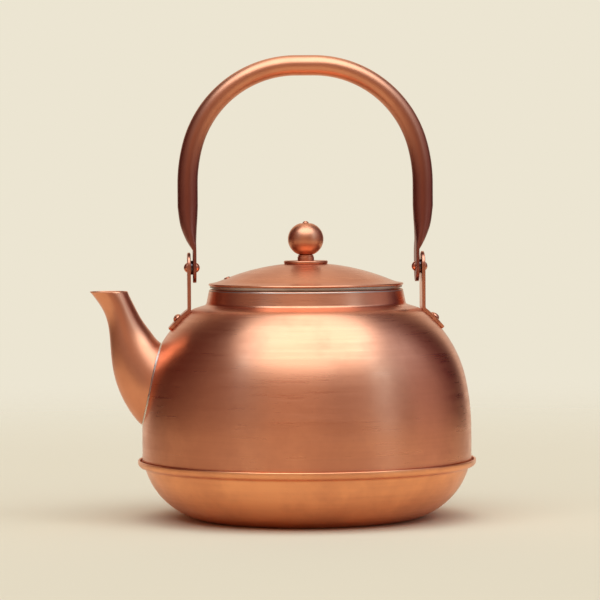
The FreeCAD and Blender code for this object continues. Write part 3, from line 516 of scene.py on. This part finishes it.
STATIONS = [((-22.5, 35.0), (-9.0, 80.0), 1.02), ((-11.4, 29.7), (-0.2, 75.6), 1.0),
            ((-5.6, 23.5), (8.6, 64.3), 0.85), ((-0.4, 16.3), (15.4, 47.2), 0.67),
            ((4.0, 8.1), (17.6, 28.6), 0.54), ((6.8, 2.3), (21.2, 11.0), 0.47)]


def spout_rows():
    """Knots along the spout: upper x, z, lower x, z and half width."""
    rows = [(-(SHELL_R + u[0]), SPOUT_TOP - u[1], -(SHELL_R + l[0]), SPOUT_TOP - l[1], 20.5 * w)
            for u, l, w in STATIONS]
    rows.append((-(SHELL_R + 7.7), SPOUT_TOP, -(SHELL_R + 28.7), SPOUT_TOP, 9.3))
    return np.array(rows)


ROWS = spout_rows()
_middles = (ROWS[:, :2] + ROWS[:, 2:4]) / 2
KNOTS = np.concatenate([[0], np.cumsum(np.hypot(*np.diff(_middles, axis=0).T))])
KNOTS = KNOTS / KNOTS[-1]


def natural_spline(xs, ys):
    """Second derivatives of the natural cubic spline through a table with many columns."""
    n = len(xs)
    matrix, right = np.eye(n), np.zeros_like(ys)
    for i in range(1, n - 1):
        h0, h1 = xs[i] - xs[i - 1], xs[i + 1] - xs[i]
        matrix[i, i - 1:i + 2] = h0, 2 * (h0 + h1), h1
        right[i] = 6 * ((ys[i + 1] - ys[i]) / h1 - (ys[i] - ys[i - 1]) / h0)
    return np.linalg.solve(matrix, right)


BEND = natural_spline(KNOTS, ROWS)


def spout_station(t):
    """Upper x, z, lower x, z and half width of the spout at a place along it."""
    i = int(np.clip(np.searchsorted(KNOTS, t) - 1, 0, len(KNOTS) - 2))
    h = KNOTS[i + 1] - KNOTS[i]
    a, b = (KNOTS[i + 1] - t) / h, (t - KNOTS[i]) / h
    return (a * ROWS[i] + b * ROWS[i + 1]
            + ((a ** 3 - a) * BEND[i] + (b ** 3 - b) * BEND[i + 1]) * h * h / 6)


def spout_point(t, angle, grow=0.0):
    """A point of the spout's skin; angle 0 is its upper line, half a turn its lower line."""
    ux, uz, lx, lz, half = spout_station(t)
    middle = np.array([(ux + lx) / 2, 0, (uz + lz) / 2])
    up = np.array([ux - lx, 0, uz - lz])
    size = np.linalg.norm(up)
    return (middle + up / size * (size / 2 + grow) * math.cos(angle)
            + np.array([0, 1, 0]) * (half + grow) * math.sin(angle))


def spout_root(angle, grow=0.0, shift=0.0):
    """Where a line of the spout's skin meets the shell's outside, moved by shift."""
    def outside(t):
        x, y, z = spout_point(t, angle, grow)
        return math.hypot(x, y) - shell_radius(z) - shift
    high = 1.0
    while high > 0.02 and outside(high - 0.02) > 0:
        high -= 0.02
    low = max(high - 0.02, 0.0)
    for _ in range(24):
        middle = (low + high) / 2
        if outside(middle) > 0:
            high = middle
        else:
            low = middle
    return high


def make_spout():
    """The hollow spout, with a rounded edge at its mouth and its root on the shell."""
    around = [2 * math.pi * (k + 0.5) / 128 for k in range(128)]
    outer_root = [spout_root(a, shift=-0.1) for a in around]
    inner_root = [spout_root(a, -1.0, shift=-0.1) for a in around]
    rows, steps = [], 90
    for i in range(steps):
        s = 0.985 * i / (steps - 1)
        rows.append([spout_point(t0 + (1 - t0) * s, a) for a, t0 in zip(around, outer_root)])
    for fall, grow in ((0.35, 0.0), (0.12, -0.05), (0.0, -0.2), (0.0, -0.5), (0.0, -0.8),
                       (0.12, -0.95), (0.35, -1.0)):
        rows.append([spout_point(1.0, a, grow) - np.array([0, 0, fall]) for a in around])
    for i in range(steps):
        s = 0.985 * (1 - i / (steps - 1))
        rows.append([spout_point(t0 + (1 - t0) * s, a, -1.0)
                     for a, t0 in zip(around, inner_root)])
    rows.append(rows[0])
    return outward(skin("spout_skin", rows, caps=False))


def spout_channel():
    """The passage inside the spout, as a closed solid that reaches into the shell."""
    around = [2 * math.pi * k / 96 for k in range(96)]
    rows = [[spout_point(t, a, -1.0) for a in around] for t in np.linspace(0.0, 0.5, 30)]
    return outward(skin("channel", rows))


def make_spout_solder():
    """A thin, slightly uneven bead in the corner between the spout and the shell."""
    count = 220
    around = [2 * math.pi * k / count for k in range(count)]
    roots = [np.array(spout_point(spout_root(a), a)) for a in around]
    rows = []
    for k, a in enumerate(around):
        here = roots[k]
        t0 = spout_root(a)
        along = np.array(spout_point(t0 + 0.03, a)) - here
        along /= np.linalg.norm(along)
        way = roots[(k + 1) % count] - roots[k - 1]
        way /= np.linalg.norm(way)
        flat = math.hypot(here[0], here[1])
        rise = shell_radius(here[2] + 0.5) - shell_radius(here[2] - 0.5)
        normal = np.array([here[0] / flat, here[1] / flat, -rise])
        normal /= np.linalg.norm(normal)
        away = np.cross(way, normal)
        if away @ (here - np.mean(roots, axis=0)) < 0:
            away = -away
        size = 0.78 * (1 + 0.12 * math.sin(5 * a) + 0.08 * math.sin(13 * a + 1)
                       + 0.05 * math.sin(31 * a + 2))
        inner = here - normal * 0.4 - away * 0.3
        row = [here + along * size + away * 0.03, here + along * size * 0.55 + away * size * 0.22,
               here + along * size * 0.25 + away * size * 0.38 + normal * 0.02,
               here + along * size * 0.1 + away * size * 0.68,
               here + away * size + normal * 0.03, here + away * size * 0.8 - normal * 0.25,
               inner, here + along * size * 0.6 - away * 0.25]
        rows.append(row)
    rows.append(rows[0])
    return outward(skin("spout_bead", rows, caps=False))


# ---------------------------------------------------------------- ears

def make_ear(name, side):
    """A strap bent once: an upright leg with a round top, and a foot that hugs the shoulder."""
    half = STRAP_W / 2
    rows = []
    for turn in np.linspace(-90, 90, 45):
        y = half * math.sin(math.radians(turn))
        end = EAR_X + 10.4
        if abs(y) > half - 3:
            end -= 3 - math.sqrt(max(9 - (abs(y) - half + 3) ** 2, 0))
        foot = []
        for x in np.linspace(end, EAR_X, 16):
            r = math.hypot(x, y)
            slope = shell_height(r + 0.3) - shell_height(r - 0.3)
            size = math.hypot(0.6, slope)
            lift = STRAP / 2 + 0.02
            foot.append((x - slope / size * lift * x / r, shell_height(r) + 0.6 / size * lift))
        foot[-1] = (EAR_X, foot[-1][1])
        foot = [p for p in foot[:-1] if p[0] > EAR_X + 0.8] + [foot[-1]]
        top = PIVOT_Z + math.sqrt(max(half ** 2 - y * y, 0))
        corner = foot[-1]
        upright = [(EAR_X, corner[1] + (top - corner[1]) * s) for s in np.linspace(0, 1, 20)]
        path = bend(foot[:-1] + upright, 2.6)
        rows.append(band(path, STRAP / 2, y, side, 1 - abs(turn) / 90))
    item = skin(name, rows, caps=False)
    bm = bmesh.new()
    bm.from_mesh(item.data)
    bm.verts.ensure_lookup_table()
    width = len(rows[0])
    for base in (0, (len(rows) - 1) * width):
        for k in range(width // 2 - 1):
            bm.faces.new([bm.verts[base + i] for i in (k, k + 1, width - 2 - k, width - 1 - k)])
    bm.to_mesh(item.data)
    bm.free()
    item.data.shade_smooth()
    return outward(item)


def bend(points, radius, count=120):
    """The line resampled evenly, with its sharp corner rounded to a radius."""
    points = np.array(points, float)
    turns = [0.0]
    for a, b, c in zip(points, points[1:], points[2:]):
        u, v = b - a, c - b
        turns.append(abs(math.atan2(u[0] * v[1] - u[1] * v[0], u @ v)))
    at = int(np.argmax(turns))
    corner = points[at]
    run = np.concatenate([[0], np.cumsum(np.hypot(*np.diff(points, axis=0).T))])
    def on(s):
        return np.array([np.interp(s, run, points[:, 0]), np.interp(s, run, points[:, 1])])
    reach = radius * math.tan(turns[at] / 2)
    a, b = on(run[at] - reach), on(run[at] + reach)
    before = [on(s) for s in np.linspace(0, run[at] - reach, count // 3, endpoint=False)]
    curve = [(1 - t) ** 2 * a + 2 * t * (1 - t) * corner + t * t * b
             for t in np.linspace(0, 1, count // 3, endpoint=False)]
    after = [on(s) for s in np.linspace(run[at] + reach, run[-1], count // 3)]
    return np.array(before + curve + after)


def band(path, half, y, side, room):
    """A closed row of points round a strap's middle line, thinner at the strap's edges."""
    way = np.gradient(path, axis=0)
    way /= np.hypot(*way.T)[:, None]
    across = np.stack([-way[:, 1], way[:, 0]], axis=1)
    edge = 0.35
    near = min(1.0, room * 12)
    thick = half - edge * (1 - math.sqrt(max(1 - (1 - near) ** 2, 0)))
    run = np.concatenate([[0], np.cumsum(np.hypot(*np.diff(path, axis=0).T))])
    ends = np.minimum(run, run[-1] - run)
    taper = half - thick + edge * (1 - np.sqrt(np.clip(1 - (1 - np.minimum(ends / edge, 1)) ** 2,
                                                     0, 1)))
    size = np.clip(half - taper, half - edge, half)[:, None]
    upper, lower = path + across * size, path - across * size
    loop = np.concatenate([upper, lower[::-1]])
    return [(side * x, y, z) for x, z in loop]


# ---------------------------------------------------------------- bail

def flattening(rise):
    """1 where the leg is pressed flat, falling to 0 where it is a full tube."""
    return np.clip((TUBE_START - rise) / (TUBE_START - FLAT_END), 0, 1)


def bail_frame(rise):
    """Inward shift, half thickness and half width of the leg at a height above the pivot."""
    u = flattening(rise)
    inward = 3.6 * smooth_table((0, 0.35, 0.7, 1), (0, 0.1, 0.45, 1), u)
    thick = smooth_table((0, 0.35, 0.7, 1), (5.7, 4.9, 3.19, 0.975), u)
    wide = smooth_table((0, 0.35, 0.7, 1), (6.5, 7.1, 8.0, 8.5), u)
    return inward, thick, wide


def make_bail():
    """One tube bent to an arch, with both ends squashed flat, rounded off and bored."""
    tilt = math.radians(14.5)
    corner_x = (LEG_X - 85) + (85 - 60.3) * math.cos(tilt)
    top = PIVOT_Z + 113.0
    corner_z = top - 60.3
    side_z = corner_z - (85 - 60.3) * math.sin(tilt)
    arch = [(LEG_X, side_z, 85.0, "left"),
            (corner_x + 60.3 * math.cos(tilt), corner_z + 60.3 * math.sin(tilt), 60.3, "left"),
            (corner_x, top), (0, top)]
    arch = line(arch, 1.2)
    side_rows = []
    for turn in np.linspace(0.5, 90, 26):
        drop = -8.5 * math.cos(math.radians(turn))
        side_rows.append(((TAB_X, PIVOT_Z + drop), (0, 1), 0.975, 8.5 * math.sin(math.radians(turn)),
                          9.0))
    for rise in np.linspace(0.6, side_z - PIVOT_Z - 1.0, 120):
        inward, thick, wide = bail_frame(rise)
        later = bail_frame(rise + 0.3)[0]
        way = np.array([-(later - inward), 0.3])
        way /= np.linalg.norm(way)
        u = flattening(rise)
        power = smooth_table((0, 0.5, 0.8, 1), (2.0, 2.15, 3.0, 9.0), u)
        side_rows.append(((LEG_X - inward, PIVOT_Z + rise), tuple(way), thick, wide, power))
    arch = np.array(arch)
    ways = np.gradient(arch, axis=0)
    for place, way in zip(arch, ways):
        way = way / np.linalg.norm(way)
        side_rows.append((tuple(place), tuple(way), 5.7, 6.5, 2.0))
    side_rows[-1] = ((0, top), (-1, 0), 5.7, 6.5, 2.0)
    rows = []
    for sign in (1, -1):
        half_rows = side_rows if sign == 1 else side_rows[-2::-1]
        for (x, z), (wx, wz), thick, wide, power in half_rows:
            normal = (wz, -wx)
            row = []
            for k in range(72):
                a = 2 * math.pi * k / 72
                c, s = math.cos(a), math.sin(a)
                p = abs(c) ** (2 / power) * (1 if c > 0 else -1) * thick
                q = abs(s) ** (2 / power) * (1 if s > 0 else -1) * wide
                row.append((sign * (x + normal[0] * p), q, z + normal[1] * p))
            rows.append(row)
    item = outward(skin("bail_tube", rows))
    for sign in (1, -1):
        carve(item, rod("bore", (sign * 58, 0, PIVOT_Z), (sign * 67, 0, PIVOT_Z), 2.25))
    return sharp_edges(item, 50)


# ---------------------------------------------------------------- lid and knob

def cap(r, under=0.0):
    """Height of the lid's cap at a radius, or of its underside."""
    return CAP_Z + math.sqrt((LID_ARC - under) ** 2 - r * r)


def make_dome():
    """The spun lid: cap, hollow brim, rounded edge, hollow underside and the vent hole."""
    rest, under_r = 52.0, DOME_R * (LID_ARC - 1.0) / LID_ARC
    corners = [
        (1.7, cap(1.7, 1.0)), (1.7, cap(1.7), LID_ARC, "right"),
        (DOME_R, cap(DOME_R), BRIM_ARC, "left"),
        (EDGE_R, FLANGE_Z + 0.95 * LID_EDGE, 0.96, "right"),
        (LID_R, FLANGE_Z + LID_EDGE / 2, 0.96, "right"), (EDGE_R, FLANGE_Z), (rest, FLANGE_Z),
        (rest, CAP_Z + BRIM_RISE - math.sqrt(28.0 ** 2 - (BRIM_X - rest) ** 2), 28.0, "right"),
        (under_r, cap(under_r, 1.0), LID_ARC - 1.0, "left"), (1.7, cap(1.7, 1.0))]
    points = softened(line(corners, 1.0)[:-1], 0.12, closed=True, angle=35)
    item = lathe("lid_dome_spun", points)
    carve(item, rod("vent", (VENT_X, 0, 128), (VENT_X, 0, 150), VENT_R, 64))
    sharp_edges(item, 35)
    centre = Vector((0, 0, CAP_Z * MM))
    normals = []
    for face in item.data.polygons:
        for loop in face.loop_indices:
            spot = item.data.vertices[item.data.loops[loop].vertex_index].co
            away = (spot - centre).normalized()
            on_top = face.normal.dot(away) > 0.99 and math.hypot(spot.x, spot.y) < (DOME_R - 0.6) * MM
            normals.append(away if on_top else Vector((0, 0, 0)))
    item.data.normals_split_custom_set(normals)
    return item


def turned(name, corners, soft, segments=128, step=0.8):
    """A solid turned piece: the line starts and ends on the axis, with its corners softened."""
    return lathe(name, softened(line(corners, step), soft), segments, closed=False)


def ringed(name, corners, soft, segments=256, step=1.0):
    """A turned ring: a closed line away from the axis."""
    points = line(corners + [corners[0][:2]], step)[:-1]
    return lathe(name, softened(points, soft, closed=True), segments)


# ---------------------------------------------------------------- build

outside, inside = shell_sides()
shell = lathe("shell_spun", softened(outside + inside[::-1], 0.25, closed=True, angle=20), 288)
carve(shell, spout_channel())
sharp_edges(shell, 55)
two_finishes(shell, shell_copper, tin, lambda at, normal: (
    normal.x * at.x + normal.y * at.y < 0 if at.z < 118 and math.hypot(at.x, at.y) > 56
    else normal.z < -0.2 or (math.hypot(at.x, at.y) < 54.6 and normal.z < 0.5)))
done(shell, "root", "body_shell", None)

bowl = lathe("bowl_spun", softened(line(bowl_line(), 1.2), 0.2, angle=30), 288, closed=False)
two_finishes(bowl, bowl_copper, tin, lambda at, normal: (
    math.hypot(at.x, at.y) < 93.5 and (normal.z > 0.2 and at.z < 30.4
                                      or normal.x * at.x + normal.y * at.y < -0.3 and at.z > 1)))
done(bowl, "root", "base_bowl", None)

spout = make_spout()
done(spout, "root", "spout", spout_copper)
done(make_spout_solder(), "root", "spout_solder", solder)

for end, side in (("rear", 1), ("front", -1)):
    ear = make_ear(end + "_strap", side)
    sharp_edges(ear, 45)
    done(ear, "root", end + "_ear", strap_copper)
    rivet_x = EAR_X + RIVET_OUT
    rivet_z = shell_height(rivet_x)
    tilt = math.atan((rivet_x - SHOULDER[0]) / (rivet_z - SHOULDER[1]))
    heads = []
    for y in (-RIVET_APART / 2, RIVET_APART / 2):
        dome = (2.6 ** 2 + 1.6 ** 2) / 3.2
        head = turned("%s_foot_rivet_%d" % (end, y > 0), [
            (0, -2.4), (1.6, -2.4), (1.6, 1.9), (2.6, 1.9, dome, "left"), (0, 3.5)], 0.18, 64, 0.3)
        stand(head, (side * rivet_x, y, rivet_z), (side * math.sin(tilt), 0, math.cos(tilt)))
        heads.append(head)
        done(head, "root", end + "_ear_rivets", fitting_copper)
    dome = (2.8 ** 2 + 1.9 ** 2) / 3.8
    inner_face = TAB_OUT - TAB - 0.05
    rivet = turned(end + "_pivot_pin", [
        (0, inner_face - 1.9, dome, "left"), (2.8, inner_face), (2.2, inner_face),
        (2.2, EAR_X + 0.95), (2.8, EAR_X + 0.95, dome, "left"), (0, EAR_X + 2.85)], 0.15, 64, 0.3)
    stand(rivet, (0, 0, PIVOT_Z), (side, 0, 0))
    done(rivet, "root", end + "_pivot_rivet", fitting_copper)
    washer = ringed(end + "_pivot_ring", [
        (2.25, 63.52), (4.0, 63.52), (4.0, 64.72), (2.25, 64.72)], 0.3, 96)
    stand(washer, (0, 0, PIVOT_Z), (side, 0, 0))
    done(washer, "root", end + "_pivot_washer", steel)

done(make_bail(), "bail", "bail_handle", bail_copper)

done(make_dome(), "lid", "lid_dome", lid_copper)
vent_lip = ringed("vent_lip", [
    (VENT_R, -0.3), (VENT_R + 0.5, -0.3), (VENT_R + 0.3, 0.45), (VENT_R, 0.6)], 0.12, 48, 0.3)
stand(vent_lip, (VENT_X, 0, cap(-VENT_X)), (VENT_X, 0, cap(-VENT_X) - CAP_Z))
done(vent_lip, "lid", "lid_dome", fitting_copper)
skirt = ringed("lid_band", [
    (50.2, RIM_Z - 9), (51.0, RIM_Z - 9), (51.0, RIM_Z), (52.6, RIM_Z), (52.6, RIM_Z + 0.8),
    (54.0, RIM_Z + 0.8), (54.0, FLANGE_Z), (50.2, FLANGE_Z)], 0.25)
done(skirt, "lid", "lid_skirt", tin)
disc = ringed("knob_plate", [
    (KNOB_BORE, cap(KNOB_BORE)), (DISC_FOOT, cap(DISC_FOOT), DISC_EDGE, "left"),
    (DISC_R, cap(DISC_R) + DISC_EDGE), (DISC_R, DISC_Z - DISC_EDGE, DISC_EDGE, "left"),
    (DISC_FOOT, DISC_Z), (KNOB_BORE, DISC_Z)], 0.1, 160, 0.25)
done(disc, "lid", "knob_disc", knob_copper)
collar = ringed("knob_neck", [
    (KNOB_BORE, DISC_Z), (COLLAR_R, DISC_Z), (COLLAR_R, COLLAR_Z - 1.0), (COLLAR_R - 0.35, COLLAR_Z - 0.8),
    (COLLAR_R - 0.35, COLLAR_Z), (KNOB_BORE, COLLAR_Z)], 0.2, 96, 0.3)
done(collar, "lid", "knob_collar", knob_copper)
ball_arc = (BALL_BULGE ** 2 + (BALL_HEIGHT / 2) ** 2) / (2 * BALL_BULGE)
ball = ringed("knob_sphere", [
    (KNOB_BORE, COLLAR_Z), (BALL_SEAT, COLLAR_Z, ball_arc, "left"), (BALL_SEAT, BALL_Z), (KNOB_BORE, BALL_Z)],
    0.25, 160, 0.5)
done(ball, "lid", "knob_ball", knob_copper)
pin = turned("knob_pin", [
    (0, 140.7), (KNOB_BORE, 140.7), (KNOB_BORE, BALL_Z + 0.45), (0.9, BALL_Z + 1.2), (0, BALL_Z + 1.3)],
    0.5, 48, 0.5)
done(pin, "lid", "knob_rivet", knob_copper)

for node, finish in (("seam_solder", solder), ("front_ear_roves", fitting_copper),
                     ("rear_ear_roves", fitting_copper), ("knob_rove", fitting_copper)):
    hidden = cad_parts[node]
    hidden.data.materials.clear()
    hidden.data.materials.append(finish)


# ---------------------------------------------------------------- floor, light and camera

def make_floor():
    """A wide pale disc that fades into the background, so that no edge shows."""
    rings = [(0.0, -0.02)] + [(30.0 * 1.16 ** k, -0.02) for k in range(27)]
    item = lathe("floor", rings, 96, closed=False)
    material = bpy.data.materials.new("floor_paper")
    material.use_nodes = True
    tree = material.node_tree
    tree.nodes.clear()
    at = new_node(tree, "ShaderNodeTexCoord").outputs["Object"]
    radius = new_node(tree, "ShaderNodeVectorMath", {0: at}, operation="LENGTH").outputs["Value"]
    shader = new_node(tree, "ShaderNodeBsdfDiffuse", {"Color": (*FLOOR, 1)})
    clear = new_node(tree, "ShaderNodeBsdfTransparent")
    fade = remap(tree, radius, 0.35, 1.3, 0.0, 1.0, smooth=True)
    mixed = new_node(tree, "ShaderNodeMixShader", {0: fade, 1: shader.outputs[0],
                                                   2: clear.outputs[0]})
    out = new_node(tree, "ShaderNodeOutputMaterial")
    tree.links.new(mixed.outputs[0], out.inputs["Surface"])
    item.data.materials.append(material)
    return item


CREAM = (0.839, 0.784, 0.644)
FLOOR = (0.735, 0.565, 0.385)
# The room at low heights: azimuth from the camera, towards the right, and its colour.
ROOM = [
    (-180, (0.78, 0.68, 0.54)), (-153, (0.78, 0.68, 0.54)), (-143, (0.12, 0.04, 0.035)),
    (-128, (0.06, 0.012, 0.012)), (-112, (0.11, 0.035, 0.035)), (-96, (0.16, 0.09, 0.09)),
    (-82, (0.26, 0.18, 0.17)), (-60, (0.31, 0.23, 0.22)), (-44, (0.38, 0.32, 0.31)),
    (-24, (0.46, 0.32, 0.25)), (0, (0.43, 0.29, 0.225)), (22, (0.30, 0.20, 0.175)),
    (34, (0.40, 0.31, 0.29)), (48, (0.46, 0.42, 0.43)), (60, (0.42, 0.36, 0.37)),
    (72, (0.30, 0.24, 0.26)), (86, (0.47, 0.38, 0.42)), (100, (0.42, 0.34, 0.39)),
    (113, (0.22, 0.14, 0.17)), (122, (0.10, 0.03, 0.05)), (134, (0.05, 0.01, 0.015)),
    (143, (0.14, 0.09, 0.09)), (153, (0.78, 0.68, 0.54)), (180, (0.78, 0.68, 0.54))]
CEILING = (1.95, 2.65, 3.15)
# Each strip lamp: azimuth and elevation of its middle, half sizes, softness of each, colour.
LAMPS = [
    ((-62, 49), (4, 7), (4, 6), (0.4, 1.6, 2.9)),
    ((-54, 30), (4, 11), (4, 8), (0.10, 0.25, 0.45)),
    ((56, 29), (7, 20), (6, 16), (0.45, 1.0, 1.5)),
    ((84, 42), (20, 16), (14, 16), (0.38, 0.70, 1.05)),
]


def window(tree, source, centre, half, soft):
    """1 inside a window of angles, falling softly to 0 outside it."""
    away = maths(tree, "ABSOLUTE", maths(tree, "SUBTRACT", source, centre))
    return remap(tree, away, max(half - soft, 0), half + soft, 1.0, 0.0, smooth=True)


def make_world():
    """Uniform cream for the background; a soft studio for everything that it lights."""
    world = bpy.data.worlds.new("studio")
    bpy.context.scene.world = world
    world.use_nodes = True
    tree = world.node_tree
    tree.nodes.clear()
    way = new_node(tree, "ShaderNodeTexCoord").outputs["Generated"]
    parts = new_node(tree, "ShaderNodeSeparateXYZ", {0: way})
    back = maths(tree, "MULTIPLY", parts.outputs[1], -1.0)
    turn = maths(tree, "DEGREES", maths(tree, "ARCTAN2", parts.outputs[0], back))
    rise = maths(tree, "DEGREES", maths(tree, "ARCSINE", parts.outputs[2]))
    room = new_node(tree, "ShaderNodeValToRGB", {0: remap(tree, turn, -180, 180, 0.0, 1.0)})
    ramp = room.color_ramp
    ramp.interpolation = "EASE"
    for index, (azimuth, colour) in enumerate(ROOM):
        if index < 2:
            stop = ramp.elements[index]
            stop.position = (azimuth + 180) / 360
        else:
            stop = ramp.elements.new((azimuth + 180) / 360)
        stop.color = (*colour, 1)
    total = room.outputs[0]
    up = maths(tree, "MAXIMUM", parts.outputs[2], 0.05)
    along = maths(tree, "DIVIDE", maths(tree, "DIVIDE", parts.outputs[0], up), 0.90)
    across = maths(tree, "DIVIDE", maths(tree, "ADD", maths(
        tree, "DIVIDE", parts.outputs[1], up), 0.49), 0.75)
    ring = maths(tree, "ADD", maths(tree, "MULTIPLY", along, along),
                 maths(tree, "MULTIPLY", across, across))
    shapes = [(remap(tree, ring, 0.65, 1.4, 1.0, 0.0, smooth=True), CEILING)]
    for (azimuth, height), (wide, tall), (soft_a, soft_b), colour in LAMPS:
        shapes.append((maths(tree, "MULTIPLY", window(tree, turn, azimuth, wide, soft_a),
                             window(tree, rise, height, tall, soft_b)), colour))
    for shape, colour in shapes:
        glow = new_node(tree, "ShaderNodeVectorMath", {0: colour}, operation="SCALE")
        tree.links.new(shape, glow.inputs["Scale"])
        total = blend_colour(tree, 1.0, total, glow.outputs[0], "ADD")
    studio = new_node(tree, "ShaderNodeBackground", {"Color": total, "Strength": 1.0})
    plain = new_node(tree, "ShaderNodeBackground", {"Color": (*CREAM, 1), "Strength": 1.0})
    ray = new_node(tree, "ShaderNodeLightPath").outputs["Is Camera Ray"]
    mixed = new_node(tree, "ShaderNodeMixShader", {0: ray, 1: studio.outputs[0],
                                                   2: plain.outputs[0]})
    out = new_node(tree, "ShaderNodeOutputWorld")
    tree.links.new(mixed.outputs[0], out.inputs["Surface"])


def make_camera():
    """A long lens just above the lid, looking slightly down, with the kettle a little turned."""
    data = bpy.data.cameras.new("camera")
    data.lens, data.sensor_width = 195.0, 36.0
    data.clip_start, data.clip_end = 0.05, 50.0
    item = bpy.data.objects.new("camera", data)
    bpy.context.scene.collection.objects.link(item)
    turn = math.radians(3.2)
    item.location = (-math.sin(turn) * 1.825, -math.cos(turn) * 1.825, 0.1864)
    right = Vector((math.cos(turn), -math.sin(turn), 0))
    target = right * -0.0034 + Vector((0, 0, 0.1224))
    look = (target - item.location).to_track_quat("-Z", "Y").to_matrix().to_4x4()
    item.matrix_world = (Matrix.Translation(item.location) @ look
                         @ Matrix.Rotation(math.radians(-0.35), 4, "Z"))
    bpy.context.scene.camera = item


make_floor()
make_world()
make_camera()
bpy.context.scene.view_settings.view_transform = "Standard"
bpy.context.scene.view_settings.look = "None"
